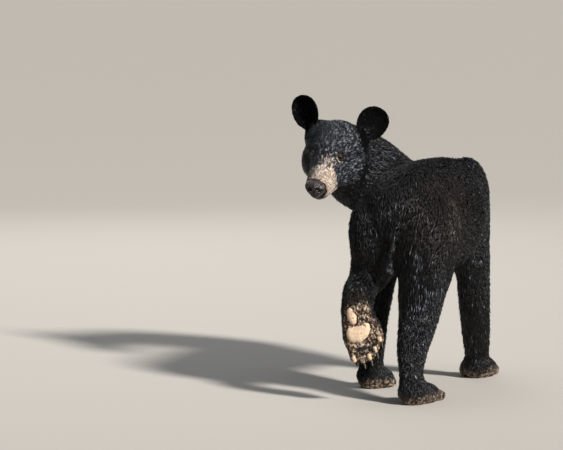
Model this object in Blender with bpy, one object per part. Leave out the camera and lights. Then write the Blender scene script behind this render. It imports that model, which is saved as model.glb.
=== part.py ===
"""A yearling black bear, life size, in mid step and looking back over its left shoulder.

The bear walks towards +Y on the floor z = 0. Its left hind foot is lifted with the sole turned back,
and the neck bends to the left until the face looks back along -Y. Every size reaches the tips of the coat.

Each form of the body is the hull of two or more balls, as a sculptor lays clay over a skeleton. The forms
are fused, smoothed and thinned, and the whole animal is parted into named pieces by thin cuts.
"""

import math

import bmesh
import bpy
import numpy as np
from mathutils import Matrix, Vector

# Driving sizes, in metres, with the coat on.
RUMP_TOP = 0.534
RUMP_HALF_WIDTH = 0.098
CHEST_TOP = 0.522
CHEST_HALF_WIDTH = 0.106
RIBS_HALF_WIDTH = 0.117
NECK_RADIUS = 0.088
HEAD_SCALE = 0.98
EYE_RADIUS = 0.0092
CLAW_RADIUS = 0.0042
FORE_CLAW_LENGTH = 0.030
HIND_CLAW_LENGTH = 0.019

# How the clay is fused, thinned and parted.
GAP = 0.0003
VOXEL = 0.005
BODY_SMOOTHING = 16
FINE_SMOOTHING = 4
KEPT_SHARE = 0.036

# Colours as linear RGB, with roughness.
COAT = ((0.012, 0.011, 0.012, 1.0), 0.55)
TAN_COAT = ((0.30, 0.19, 0.11, 1.0), 0.7)
NOSE_LEATHER = ((0.030, 0.020, 0.018, 1.0), 0.35)
EYE_BROWN = ((0.020, 0.010, 0.006, 1.0), 0.1)
CLAW_HORN = ((0.025, 0.018, 0.014, 1.0), 0.4)
PAD_LEATHER = ((0.42, 0.27, 0.17, 1.0), 0.8)


def material(name, finish):
    colour, roughness = finish
    made = bpy.data.materials.new(name)
    made.use_nodes = True
    surface = made.node_tree.nodes["Principled BSDF"]
    surface.inputs["Base Color"].default_value = colour
    surface.inputs["Roughness"].default_value = roughness
    made.diffuse_color = colour
    return made


def axes_matrix(origin, right, forward, up):
    """The matrix of a frame from its origin and three unit axes."""
    turned = Matrix((right, forward, up)).transposed()
    return Matrix.Translation(origin) @ turned.to_4x4()


def turned(yaw=0.0, pitch=0.0, roll=0.0):
    """A turn about the frame's own Y, then X, then Z, in degrees."""
    return (
        Matrix.Rotation(math.radians(yaw), 4, "Z")
        @ Matrix.Rotation(math.radians(pitch), 4, "X")
        @ Matrix.Rotation(math.radians(roll), 4, "Y")
    )


def unit_ball_points(rings=3):
    bm = bmesh.new()
    bmesh.ops.create_icosphere(bm, subdivisions=rings, radius=1.0)
    points = [v.co.copy() for v in bm.verts]
    bm.free()
    return points


UNIT_BALL = unit_ball_points()


def ball(x, y, z, across, along=None, up=None, turn=None):
    """An ellipsoid's matrix: its centre, its half widths, and how it is turned."""
    along = across if along is None else along
    up = across if up is None else up
    turn = turn or Matrix.Identity(4)
    return Matrix.Translation((x, y, z)) @ turn @ Matrix.Diagonal((across, along, up, 1.0))


class Clay:
    """Closed hulls that lie in and over each other, kept in one bmesh until they are fused."""

    def __init__(self):
        self.bm = bmesh.new()

    def hull(self, *balls, frame=None):
        frame = frame or Matrix.Identity(4)
        form = bmesh.new()
        for matrix in balls:
            for point in UNIT_BALL:
                form.verts.new(frame @ matrix @ point)
        made = bmesh.ops.convex_hull(form, input=form.verts)
        inner = {v for v in made["geom_interior"] if isinstance(v, bmesh.types.BMVert)}
        inner |= {v for v in made["geom_unused"] if isinstance(v, bmesh.types.BMVert)}
        bmesh.ops.delete(form, geom=list(inner), context="VERTS")
        bmesh.ops.recalc_face_normals(form, faces=form.faces)
        step = bpy.data.meshes.new("form")
        form.to_mesh(step)
        form.free()
        self.bm.from_mesh(step)
        bpy.data.meshes.remove(step)

    def chain(self, *balls, frame=None):
        """A limb or a trunk: each two neighbouring balls make one hull."""
        for first, second in zip(balls, balls[1:]):
            self.hull(first, second, frame=frame)

    def mesh(self, name):
        made = bpy.data.meshes.new(name)
        self.bm.to_mesh(made)
        self.bm.free()
        return made


def link(name, mesh):
    made = bpy.data.objects.new(name, mesh)
    bpy.context.scene.collection.objects.link(made)
    return made


def linked(name, bm):
    """A linked object of the bmesh, which is then freed."""
    mesh = bpy.data.meshes.new(name)
    bm.to_mesh(mesh)
    bm.free()
    return link(name, mesh)


def applied(obj):
    """The object with its modifiers made real."""
    graph = bpy.context.evaluated_depsgraph_get()
    graph.update()
    mesh = bpy.data.meshes.new_from_object(obj.evaluated_get(graph))
    obj.modifiers.clear()
    obj.data = mesh
    return obj


# ---------------------------------------------------------------- trunk, neck and tail

SPINE = (
    # x, y, half width, half length, top, half height
    (0.010, 0.095, RUMP_HALF_WIDTH, 0.118, RUMP_TOP, 0.108),
    (0.022, 0.215, 0.108, 0.100, RUMP_TOP + 0.004, 0.115),
    (0.021, 0.330, RIBS_HALF_WIDTH, 0.100, 0.532, 0.131),
    (0.008, 0.450, CHEST_HALF_WIDTH, 0.105, CHEST_TOP, 0.134),
    (-0.018, 0.515, 0.090, 0.085, 0.494, 0.117),
)


def add_trunk(clay):
    clay.chain(*(
        ball(x, y, top - height, width, length, height)
        for x, y, width, length, top, height in SPINE
    ))
    clay.hull(ball(0.020, 0.200, 0.365, 0.088, 0.090, 0.078), ball(0.014, 0.360, 0.355, 0.100, 0.100, 0.094))
    clay.hull(ball(0.006, 0.070, 0.400, 0.088, 0.092, 0.090), ball(0.006, 0.075, 0.345, 0.074, 0.070, 0.060))


def add_neck(clay):
    clay.chain(
        ball(-0.020, 0.500, 0.392, 0.094, 0.090, 0.104),
        ball(-0.074, 0.580, 0.392, NECK_RADIUS + 0.004),
        ball(-0.146, 0.622, 0.408, NECK_RADIUS - 0.003, NECK_RADIUS - 0.009, NECK_RADIUS + 0.001),
        ball(-0.216, 0.606, 0.470, NECK_RADIUS - 0.004, NECK_RADIUS - 0.008, NECK_RADIUS - 0.002),
        ball(-0.252, 0.545, 0.508, 0.078, 0.060, 0.076),
    )
    clay.hull(
        ball(-0.150, 0.620, 0.410, 0.084),
        ball(-0.238, 0.572, 0.452, 0.070),
        ball(-0.258, 0.500, 0.482, 0.052, 0.050, 0.050),
    )


def tail_piece():
    """A short tail, held down against the rump, and drawn out by its hair."""
    path = ((0.020, 0.010, 0.430), (0.018, -0.014, 0.408), (0.014, -0.022, 0.378),
            (0.008, -0.022, 0.346), (0.002, -0.014, 0.316), (-0.001, -0.006, 0.294))
    widths = (0.015, 0.014, 0.011, 0.0095, 0.0075, 0.0035)
    heights = [0.8 * width for width in widths]
    return tube("tail", [Vector(place) for place in path], widths, heights, sides=8)


# ---------------------------------------------------------------- legs

LEFT, RIGHT = -1, 1


def add_standing_hind_leg(clay):
    """The right hind leg bears the weight, set well under the body."""
    clay.hull(ball(0.074, 0.090, 0.385, 0.066, 0.100, 0.098), ball(0.056, 0.145, 0.285, 0.052, 0.060, 0.060))
    clay.hull(ball(0.066, 0.050, 0.350, 0.058, 0.066, 0.085), ball(0.050, 0.055, 0.225, 0.046, 0.050, 0.050))
    clay.chain(
        ball(0.052, 0.135, 0.270, 0.051, 0.054, 0.054),
        ball(0.049, 0.065, 0.185, 0.046, 0.048, 0.048),
        ball(0.048, 0.016, 0.125, 0.036, 0.041, 0.042),
        ball(0.050, -0.006, 0.075, 0.028, 0.032, 0.034),
        ball(0.056, -0.010, 0.036, 0.029, 0.030, 0.032),
    )


def add_lifted_hind_leg(clay):
    """The left hind leg swings: its knee is bent, its hock is high behind, and its foot hangs."""
    clay.hull(ball(-0.053, 0.090, 0.385, 0.066, 0.100, 0.095), ball(-0.082, 0.165, 0.295, 0.048, 0.056, 0.056))
    clay.hull(ball(-0.048, 0.050, 0.352, 0.056, 0.064, 0.080), ball(-0.070, 0.080, 0.290, 0.044, 0.052, 0.046))
    clay.chain(
        ball(-0.088, 0.160, 0.280, 0.045, 0.050, 0.050),
        ball(-0.078, 0.070, 0.268, 0.038, 0.044, 0.040),
        ball(-0.073, -0.004, 0.252, 0.038, 0.038, 0.040),
        ball(-0.070, -0.030, 0.220, 0.037, 0.034, 0.036),
    )


def add_foreleg(clay, side, elbow, knee, wrist):
    """A shoulder, an upper arm and a forearm; the last three are its joints' centres."""
    x = side * 0.058
    blade = ball(x + 0.003, 0.450, 0.418 + side * 0.009, 0.054, 0.092, 0.099)
    clay.hull(blade, ball(x, 0.470, 0.335, 0.056, 0.066, 0.066))
    clay.hull(ball(x, 0.460, 0.345, 0.056, 0.066, 0.066), ball(*elbow, 0.042, 0.050, 0.046))
    clay.chain(
        ball(*elbow, 0.041, 0.048, 0.046),
        ball(*knee, 0.037, 0.039, 0.040),
        ball(*wrist, 0.032, 0.032, 0.032),
    )


# ---------------------------------------------------------------- paws

TOES = (-2, -1, 0, 1, 2)
TOE_RADIUS = 0.0125
TOE_SPACING = 0.0175
TOE_ARC = 0.0052
FORE_TOE_REACH = 0.074
HIND_TOE_REACH = 0.102


def toe_tip(toe, side, reach):
    """The centre of a toe's last joint in the paw's own frame; the inmost toe is set furthest back."""
    inward = -side * toe
    return Vector((toe * TOE_SPACING, reach - TOE_ARC * (inward + 0.7) ** 2 * 0.9, TOE_RADIUS + 0.001))


def add_toes(clay, side, reach, frame):
    for toe in TOES:
        tip = toe_tip(toe, side, reach)
        root = ball(toe * 0.0145, tip.y - 0.034, 0.020, 0.0145)
        clay.hull(root, ball(*tip, TOE_RADIUS), frame=frame)


def add_forepaw(clay, side, frame):
    clay.hull(
        ball(0.0, -0.008, 0.032, 0.033, 0.030, 0.032),
        ball(-0.015, 0.028, 0.023, 0.030, 0.028, 0.025),
        ball(0.015, 0.028, 0.023, 0.030, 0.028, 0.025),
        frame=frame,
    )
    add_toes(clay, side, FORE_TOE_REACH, frame)


def add_hindpaw(clay, side, frame):
    clay.hull(
        ball(0.0, -0.004, 0.030, 0.035, 0.034, 0.031),
        ball(-0.019, 0.052, 0.023, 0.030, 0.030, 0.024),
        ball(0.017, 0.048, 0.023, 0.030, 0.030, 0.024),
        frame=frame,
    )
    add_toes(clay, side, HIND_TOE_REACH, frame)


def paw_frames():
    """Each paw's own frame: its origin under the wrist or heel, Y to the toes and Z up from the sole."""
    toes_down = Vector((0.325, 0.02, -0.945)).normalized()
    sole_back = Vector((0.16, -0.98, -0.02))
    right = toes_down.cross(-sole_back).normalized()
    up = right.cross(toes_down)
    return {
        "forepaw_left": Matrix.Translation((-0.108, 0.240, -0.0025)) @ turned(yaw=-6),
        "forepaw_right": Matrix.Translation((0.080, 0.492, -0.0025)) @ turned(yaw=8),
        "hindpaw_left": axes_matrix(Vector((-0.066, -0.058, 0.204)), right, toes_down, up),
        "hindpaw_right": Matrix.Translation((0.057, -0.008, -0.0025)) @ turned(yaw=-4),
    }


# ---------------------------------------------------------------- head

HEAD_CENTRE = Vector((-0.259, 0.470, 0.534))
HEAD_FRAME = (
    Matrix.Translation(HEAD_CENTRE)
    @ turned(yaw=177.4, pitch=-20.5, roll=-8.2)
    @ Matrix.Scale(HEAD_SCALE, 4)
)
EYE_PLACE = Vector((0.033, 0.074, 0.0155))
NOSE_PLACE = Vector((0.0, 0.166, -0.029))
EAR_PLACE = Vector((0.083, -0.016, 0.069))
EAR_HALF_WIDTH = 0.038
EAR_HALF_HEIGHT = 0.047
EAR_TAPER = 0.15
EAR_DEPTH = 0.020
EAR_THICKNESS = 0.009


def add_head(clay):
    put = {"frame": HEAD_FRAME}
    clay.hull(ball(0, -0.008, -0.004, 0.071, 0.078, 0.067), ball(0, 0.042, 0.014, 0.054, 0.048, 0.047), **put)
    clay.hull(ball(0, 0.046, 0.018, 0.045, 0.040, 0.040), ball(0, 0.082, -0.014, 0.037, 0.034, 0.037), **put)
    clay.hull(ball(0, 0.080, -0.016, 0.036, 0.036, 0.036), ball(0, 0.144, -0.033, 0.032, 0.026, 0.029), **put)
    clay.hull(ball(0, 0.020, -0.050, 0.044, 0.044, 0.034), ball(0, 0.130, -0.056, 0.025, 0.026, 0.020), **put)
    for side in (LEFT, RIGHT):
        cheek = ball(side * 0.043, 0.004, -0.034, 0.038, 0.058, 0.050)
        clay.hull(cheek, ball(side * 0.030, 0.046, -0.036, 0.026, 0.036, 0.034), **put)
        clay.hull(
            ball(side * 0.030, 0.058, 0.028, 0.017, 0.020, 0.012),
            ball(side * 0.046, 0.040, 0.018, 0.017, 0.022, 0.014),
            **put,
        )
        temple = ball(side * 0.050, -0.010, 0.022, 0.029, 0.044, 0.036)
        clay.hull(temple, ball(0, -0.010, 0.020, 0.040), **put)


def ear_frame(side):
    """The ear's own frame: Z along its axis, which leans outwards, and Y out of its open front."""
    axis = Vector((side * 0.36, -0.30, 0.88)).normalized()
    front = Vector((side * 0.28, 0.95, 0.10))
    right = front.cross(axis).normalized()
    front = axis.cross(right)
    place = Vector((side * EAR_PLACE.x, EAR_PLACE.y, EAR_PLACE.z))
    return HEAD_FRAME @ axes_matrix(place, right, front, axis)


def ear_piece(name, side, rings=3, spokes=18):
    """A cupped, round ear: two skins of rings, joined round the rim, with its back bulging out."""
    frame = ear_frame(side)
    bm = bmesh.new()
    skins = []
    for face in (1, -1):
        centre_depth = -EAR_DEPTH + face * EAR_THICKNESS / 2
        pole = bm.verts.new(frame @ Vector((0, centre_depth, 0)))
        rows = []
        for ring in range(1, rings + 1):
            share = ring / rings
            row = []
            for spoke in range(spokes):
                angle = math.tau * spoke / spokes
                height = math.cos(angle) * share
                x = math.sin(angle) * EAR_HALF_WIDTH * share * (1 + EAR_TAPER * height)
                z = height * EAR_HALF_HEIGHT
                wall = EAR_THICKNESS / 2 * (1 - 0.45 * share)
                y = -EAR_DEPTH * (1 - share**2) + face * wall
                row.append(bm.verts.new(frame @ Vector((x, y, z))))
            rows.append(row)
        skins.append((pole, rows))
    for pole, rows in skins:
        for spoke in range(spokes):
            after = (spoke + 1) % spokes
            bm.faces.new((pole, rows[0][spoke], rows[0][after]))
            for inner, outer in zip(rows, rows[1:]):
                bm.faces.new((inner[spoke], outer[spoke], outer[after], inner[after]))
    for spoke in range(spokes):
        after = (spoke + 1) % spokes
        front, back = skins[0][1][-1], skins[1][1][-1]
        bm.faces.new((front[spoke], back[spoke], back[after], front[after]))
    bmesh.ops.recalc_face_normals(bm, faces=bm.faces)
    return linked(name, bm)


# ---------------------------------------------------------------- fusing and thinning


def fused(name, clay, voxel=VOXEL):
    """The union of the clay's hulls, on an even grid."""
    body = link(name, clay.mesh(name))
    remesh = body.modifiers.new("fuse", "REMESH")
    remesh.mode = "VOXEL"
    remesh.voxel_size = voxel
    return applied(body)


def smooth(obj, times, wanted=lambda co: True, share=0.5):
    """Moves each wanted point part of the way to the middle of its neighbours, a number of times."""
    mesh = obj.data
    count = len(mesh.vertices)
    points = np.empty(count * 3)
    mesh.vertices.foreach_get("co", points)
    points = points.reshape(-1, 3)
    ends = np.empty(len(mesh.edges) * 2, np.int64)
    mesh.edges.foreach_get("vertices", ends)
    one, other = ends.reshape(-1, 2).T
    degree = np.bincount(ends, minlength=count)[:, None]
    weight = np.array([share * float(wanted(co)) for co in points])[:, None]
    for _ in range(times):
        total = np.zeros_like(points)
        for axis in range(3):
            total[:, axis] += np.bincount(one, points[other, axis], count)
            total[:, axis] += np.bincount(other, points[one, axis], count)
        points += weight * (total / degree - points)
    mesh.vertices.foreach_set("co", points.ravel())
    mesh.update()


def away_from_fine_forms(co):
    """0 at the head and the paws, whose small forms keep their shape, and 1 on the rest of the body."""
    head = (Vector(co) - HEAD_CENTRE).length
    far_from_head = min(max((head - 0.10) / 0.04, 0.0), 1.0)
    off_floor = min(max((co[2] - 0.05) / 0.04, 0.0), 1.0)
    lifted = (Vector(co) - Vector((-0.075, -0.045, 0.18))).length
    off_lifted = min(max((lifted - 0.07) / 0.03, 0.0), 1.0)
    return min(far_from_head, off_floor, off_lifted)


def thinned(obj, share):
    decimate = obj.modifiers.new("thin", "DECIMATE")
    decimate.ratio = share
    decimate.use_collapse_triangulate = True
    return applied(obj)


# ---------------------------------------------------------------- cutting


def grown(obj, by=GAP):
    """A copy of the object, a little larger all round, to cut its neighbour with."""
    mesh = obj.data.copy()
    normals = [v.normal.copy() for v in mesh.vertices]
    for vertex, normal in zip(mesh.vertices, normals):
        vertex.co += normal * by
    return link("grown", mesh)


def boolean(obj, cutter, operation):
    step = obj.modifiers.new("cut", "BOOLEAN")
    step.operation = operation
    step.object = cutter
    return applied(obj)


def remove(obj):
    bpy.data.objects.remove(obj)


def cutter(corners, margin=0.0):
    """The hull of the corners as an object, with each of its faces moved out by the margin."""
    bm = bmesh.new()
    for corner in corners:
        bm.verts.new(corner)
    bmesh.ops.convex_hull(bm, input=bm.verts)
    bmesh.ops.recalc_face_normals(bm, faces=bm.faces)
    bm.normal_update()
    moves = []
    for vertex in bm.verts:
        normals = np.array([face.normal for face in vertex.link_faces])
        move = np.linalg.lstsq(normals, np.full(len(normals), margin), rcond=None)[0]
        moves.append(Vector(move))
    for vertex, move in zip(bm.verts, moves):
        vertex.co += move
    return linked("cutter", bm)


def part_off(whole, name, corners):
    """Parts a named piece from the whole: what lies inside the hull of the corners, less a thin kerf."""
    piece = link(name, whole.data.copy())
    inside = cutter(corners)
    boolean(piece, inside, "INTERSECT")
    kerf = cutter(corners, margin=GAP)
    boolean(whole, kerf, "DIFFERENCE")
    remove(inside)
    remove(kerf)
    return piece


def may_merge(edge, cuts_of):
    """The end of an edge to keep and the one to lose, or None where a merge would spoil a cut or the skin."""
    if min(len(face.verts) for face in edge.link_faces) > 3 or any(len(f.verts) == 5 for f in edge.link_faces):
        return None
    kept, lost = sorted(edge.verts, key=lambda vertex: -len(cuts_of.get(vertex, ())))
    if not cuts_of.get(kept) or len(cuts_of.get(lost, ())) > 1:
        return None
    if cuts_of.get(lost) and not any(len(face.verts) > 4 for face in edge.link_faces):
        return None
    shared = {e.other_vert(kept) for e in kept.link_edges} & {e.other_vert(lost) for e in lost.link_edges}
    thirds = {v for face in edge.link_faces if len(face.verts) == 3 for v in face.verts} - {kept, lost}
    if shared != thirds:
        return None
    for face in lost.link_faces:
        if kept in face.verts or len(face.verts) > 3:
            continue
        for vertex in face.verts:
            others = cuts_of.get(vertex)
            if vertex is not lost and others and not others & cuts_of[kept]:
                return None
    return kept, lost


def weld_short_edges(piece, shortest=0.0065, passes=5):
    """Merges the short edges that a cut leaves. Points on a cut face stay in its plane, so the kerf stays."""
    for _ in range(passes):
        bm = bmesh.new()
        bm.from_mesh(piece.data)
        bmesh.ops.triangulate(bm, faces=[face for face in bm.faces if len(face.verts) == 4])
        cuts_of = {}
        for face in bm.faces:
            if len(face.verts) > 4:
                for vertex in face.verts:
                    cuts_of.setdefault(vertex, set()).add(face)
        touched, merges = set(), {}
        for edge in sorted(bm.edges, key=lambda edge: edge.calc_length()):
            if edge.calc_length() > shortest:
                break
            near = {v for vertex in edge.verts for beside in vertex.link_edges for v in beside.verts}
            pair = None if near & touched else may_merge(edge, cuts_of)
            if pair:
                merges[pair[1]] = pair[0]
                touched |= near
        bmesh.ops.weld_verts(bm, targetmap=merges)
        sound = all(len(edge.link_faces) == 2 for edge in bm.edges)
        if merges and sound:
            bm.to_mesh(piece.data)
        bm.free()
        if not merges or not sound:
            break


def slab(point, into, half_reach=0.20, depth=0.30):
    """The corners of a box with one face centred on point, and the rest of it lying along into."""
    into = Vector(into).normalized()
    helper = Vector((0, 0, 1)) if abs(into.z) < 0.9 else Vector((0, 1, 0))
    right = into.cross(helper).normalized()
    up = right.cross(into)
    return [
        Vector(point) + into * along + right * across + up * upward
        for along in (0, depth)
        for across in (-half_reach, half_reach)
        for upward in (-half_reach, half_reach)
    ]


def across(outline, low, high):
    """The corners of a prism whose outline is in the side view, as (y, z), between two x."""
    return [Vector((x, y, z)) for x in (low, high) for y, z in outline]


def upright(outline, low, high):
    """The corners of a prism whose outline is in the top view, as (x, y), between two heights."""
    return [Vector((x, y, z)) for z in (low, high) for x, y in outline]


def leg_corners(inner, outer, low, backs, fronts, groin, flank):
    """The corners round a whole leg: its top face slopes from the groin, inside, up to the flank."""
    corners = []
    for x, z in ((inner[0], low), (outer, low), (inner[1], groin), (outer, flank)):
        share = (z - low) / (flank - low)
        for ends in (backs, fronts):
            corners.append(Vector((x, ends[0] + share * (ends[1] - ends[0]), z)))
    return corners


def cut_floor(whole):
    """Flat soles: all that would sink into the floor is taken off."""
    floor = cutter(upright(((-0.8, -0.8), (0.8, -0.8), (0.8, 1.2), (-0.8, 1.2)), -0.2, 0.0))
    boolean(whole, floor, "DIFFERENCE")
    remove(floor)


def trimmed(piece, host):
    """The piece without what would lie inside its host."""
    cutter = grown(host)
    boolean(piece, cutter, "DIFFERENCE")
    remove(cutter)
    return piece


def seated(piece, host):
    """Sinks the piece in a socket of the host."""
    cutter = grown(piece)
    boolean(host, cutter, "DIFFERENCE")
    remove(cutter)
    return piece


# ---------------------------------------------------------------- eyes, nose, claws and pads


def ball_piece(name, matrix, columns=12, rows=7):
    bm = bmesh.new()
    bmesh.ops.create_uvsphere(bm, u_segments=columns, v_segments=rows, radius=1.0, matrix=matrix)
    bmesh.ops.recalc_face_normals(bm, faces=bm.faces)
    return linked(name, bm)


def nose_piece():
    """The bare nose leather, wider at the top, with two nostrils that open to the sides."""
    clay = Clay()
    x, y, z = NOSE_PLACE
    clay.hull(
        ball(x - 0.011, y - 0.004, z + 0.003, 0.0145, 0.016, 0.0140),
        ball(x + 0.011, y - 0.004, z + 0.003, 0.0145, 0.016, 0.0140),
        ball(x, y - 0.006, z - 0.015, 0.011, 0.014, 0.010),
        frame=HEAD_FRAME,
    )
    nose = thinned(link("nose", clay.mesh("nose")), 0.25)
    for side in (LEFT, RIGHT):
        hole = ball(x + side * 0.0105, y + 0.010, z + 0.001, 0.0042, 0.010, 0.0036, turned(yaw=side * -28))
        nostril = ball_piece("nostril", HEAD_FRAME @ hole, 8, 5)
        boolean(nose, nostril, "DIFFERENCE")
        remove(nostril)
    return nose


def tube(name, centres, widths, heights, sides=8):
    """A closed tube of oval rings along a path; each end closes on a fan."""
    bm = bmesh.new()
    rows = []
    for index, centre in enumerate(centres):
        ahead = centres[min(index + 1, len(centres) - 1)] - centres[max(index - 1, 0)]
        ahead.normalize()
        helper = Vector((0, 0, 1)) if abs(ahead.z) < 0.9 else Vector((1, 0, 0))
        right = ahead.cross(helper).normalized()
        up = right.cross(ahead)
        rows.append([
            bm.verts.new(centre + right * widths[index] * math.cos(turn) + up * heights[index] * math.sin(turn))
            for turn in (math.tau * side / sides for side in range(sides))
        ])
    for row, following in zip(rows, rows[1:]):
        for side in range(sides):
            after = (side + 1) % sides
            bm.faces.new((row[side], row[after], following[after], following[side]))
    for row in (rows[0], rows[-1]):
        middle = bm.verts.new(sum((v.co for v in row), Vector()) / sides)
        for side in range(sides):
            bm.faces.new((middle, row[side], row[(side + 1) % sides]))
    bmesh.ops.recalc_face_normals(bm, faces=bm.faces)
    return linked(name, bm)


def claw_piece(name, frame, tip, length, steps=3):
    """A claw that leaves the toe's top, and curves down to a point ahead of it."""
    start = tip + Vector((0, TOE_RADIUS * 0.35, TOE_RADIUS * 0.35))
    bend = math.radians(60)
    centres, radii = [], []
    for step in range(steps + 1):
        along = step / steps
        reach = length * math.sin(along * bend) / bend
        drop = length * (1 - math.cos(along * bend)) / bend
        centres.append(start + Vector((0, reach, -drop)))
        radii.append(CLAW_RADIUS * (1 - 0.86 * along**1.5))
    claw = tube(name, centres, [0.8 * radius for radius in radii], radii, sides=5)
    claw.data.transform(frame)
    return claw


def sole_pads(frame):
    """The lifted foot's bare pads: a small heel pad, the wide crescent behind the toes, and five toe pads."""
    heel = ball(-0.011, 0.001, 0.005, 0.0105, 0.0175, 0.0080)
    pads = [ball_piece("pad_heel", frame @ heel, 12, 6)]
    centres, widths = [], []
    steps = 6
    for step in range(steps + 1):
        share = step / steps
        angle = math.radians(-62 + 142 * share)
        centres.append(Vector((-0.010 + 0.025 * math.sin(angle), 0.028 + 0.020 * math.cos(angle), 0.0040)))
        fullness = math.sin(math.pi * (0.10 + 0.82 * share)) ** 0.5
        widths.append(0.0145 * fullness * (1 - 0.42 * share))
    crescent = tube("pad_sole", centres, widths, [0.0080] * len(widths), sides=7)
    crescent.data.transform(frame)
    pads.append(crescent)
    for toe in TOES:
        tip = toe_tip(toe, LEFT, HIND_TOE_REACH)
        oval = ball(tip.x, tip.y - 0.001, 0.0035, 0.0066, 0.0085, 0.0055)
        pads.append(ball_piece(f"pad_toe_{toe + 3}", frame @ oval, 7, 5))
    return pads


# ---------------------------------------------------------------- the whole bear


def clear_scene():
    for obj in list(bpy.data.objects):
        bpy.data.objects.remove(obj)


def model_body(frames):
    """The flesh and coat of the whole animal as one closed skin, before it is parted."""
    clay = Clay()
    add_trunk(clay)
    add_neck(clay)
    add_standing_hind_leg(clay)
    add_lifted_hind_leg(clay)
    add_foreleg(clay, LEFT, (-0.114, 0.345, 0.275), (-0.117, 0.282, 0.160), (-0.110, 0.237, 0.070))
    add_foreleg(clay, RIGHT, (0.086, 0.420, 0.275), (0.086, 0.442, 0.165), (0.082, 0.480, 0.070))
    add_forepaw(clay, LEFT, frames["forepaw_left"])
    add_forepaw(clay, RIGHT, frames["forepaw_right"])
    add_hindpaw(clay, LEFT, frames["hindpaw_left"])
    add_hindpaw(clay, RIGHT, frames["hindpaw_right"])
    add_head(clay)
    body = fused("body", clay)
    smooth(body, BODY_SMOOTHING, away_from_fine_forms)
    smooth(body, FINE_SMOOTHING)
    thinned(body, KEPT_SHARE)
    cut_floor(body)
    return body


def part_head(body):
    """The head with its muzzle and lower jaw, each parted from what lies behind it."""
    behind_skull = ((-0.085, 0.14), (0.26, 0.14), (0.26, -0.14), (0.005, -0.14))
    under_mouth = ((0.050, -0.056), (0.22, -0.051), (0.22, -0.12), (0.035, -0.12))
    muzzle_front = ((0.090, 0.10), (0.22, 0.10), (0.22, -0.12), (0.090, -0.12))
    head = part_off(body, "head", [HEAD_FRAME @ corner for corner in across(behind_skull, -0.117, 0.117)])
    jaw = part_off(head, "lower_jaw", [HEAD_FRAME @ corner for corner in across(under_mouth, -0.09, 0.09)])
    muzzle = part_off(head, "muzzle", [HEAD_FRAME @ corner for corner in across(muzzle_front, -0.09, 0.09)])
    return head, muzzle, jaw


def part_leg(body, names, corners, lower, paw):
    """One leg as three pieces; lower and paw are each a cut's point and the way that it faces."""
    upper_name, lower_name, paw_name = names
    upper = part_off(body, upper_name, corners)
    lower_piece = part_off(upper, lower_name, slab(*lower))
    paw_piece = part_off(lower_piece, paw_name, slab(*paw))
    return upper, lower_piece, paw_piece


def part_legs(body, frames):
    middle = 0.0015
    toes_down = frames["hindpaw_left"].to_3x3().col[1]
    pieces = part_leg(
        body,
        ("thigh_left", "shank_left", "hindpaw_left"),
        leg_corners((middle, middle), -0.20, 0.07, (-0.14, -0.14), (0.165, 0.260), 0.285, 0.410),
        ((-0.080, 0.100, 0.275), (0.05, -1.0, -0.10)),
        ((-0.072, -0.024, 0.224), toes_down),
    )
    pieces += part_leg(
        body,
        ("thigh_right", "shank_right", "hindpaw_right"),
        leg_corners((middle, middle), 0.20, -0.02, (-0.14, -0.14), (0.235, 0.235), 0.285, 0.420),
        ((0.050, 0.105, 0.235), (0.0, -0.40, -0.92)),
        ((0.055, -0.006, 0.066), (0.0, 0.0, -1.0)),
    )
    pieces += part_leg(
        body,
        ("upper_foreleg_left", "lower_foreleg_left", "forepaw_left"),
        leg_corners((-0.030, -0.052), -0.20, -0.02, (0.165, 0.290), (0.360, 0.450), 0.262, 0.400),
        ((-0.116, 0.322, 0.228), (0.0, -0.40, -0.92)),
        ((-0.109, 0.236, 0.064), (0.0, 0.0, -1.0)),
    )
    pieces += part_leg(
        body,
        ("upper_foreleg_right", "lower_foreleg_right", "forepaw_right"),
        leg_corners((0.010, 0.040), 0.20, -0.02, (0.370, 0.350), (0.620, 0.500), 0.262, 0.400),
        ((0.086, 0.432, 0.228), (0.0, 0.15, -0.98)),
        ((0.081, 0.482, 0.064), (0.0, 0.0, -1.0)),
    )
    return pieces


def part_trunk(body):
    neck_outline = ((0.100, 0.632), (-0.130, 0.484), (-0.400, 0.450), (-0.400, 0.800), (0.100, 0.800))
    neck = part_off(body, "neck", upright(neck_outline, 0.15, 0.75))
    chest = part_off(body, "chest", slab((0.0, 0.385, 0.40), (0, 1, 0), 0.25, 0.40))
    rump = part_off(body, "rump", slab((0.0, 0.190, 0.40), (0, -1, 0), 0.25, 0.40))
    body.name = "barrel"
    return neck, chest, rump, body


def finish(piece, surface):
    piece.data.name = piece.name
    piece.data.materials.clear()
    piece.data.materials.append(surface)
    for face in piece.data.polygons:
        face.material_index = 0


def centre_on_floor(pieces):
    """Brings the middle of the whole model's footprint over the origin."""
    points = np.array([vertex.co for piece in pieces for vertex in piece.data.vertices])
    middle = (points.min(axis=0) + points.max(axis=0)) / 2
    for piece in pieces:
        piece.data.transform(Matrix.Translation((-middle[0], -middle[1], 0.0)))


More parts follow.
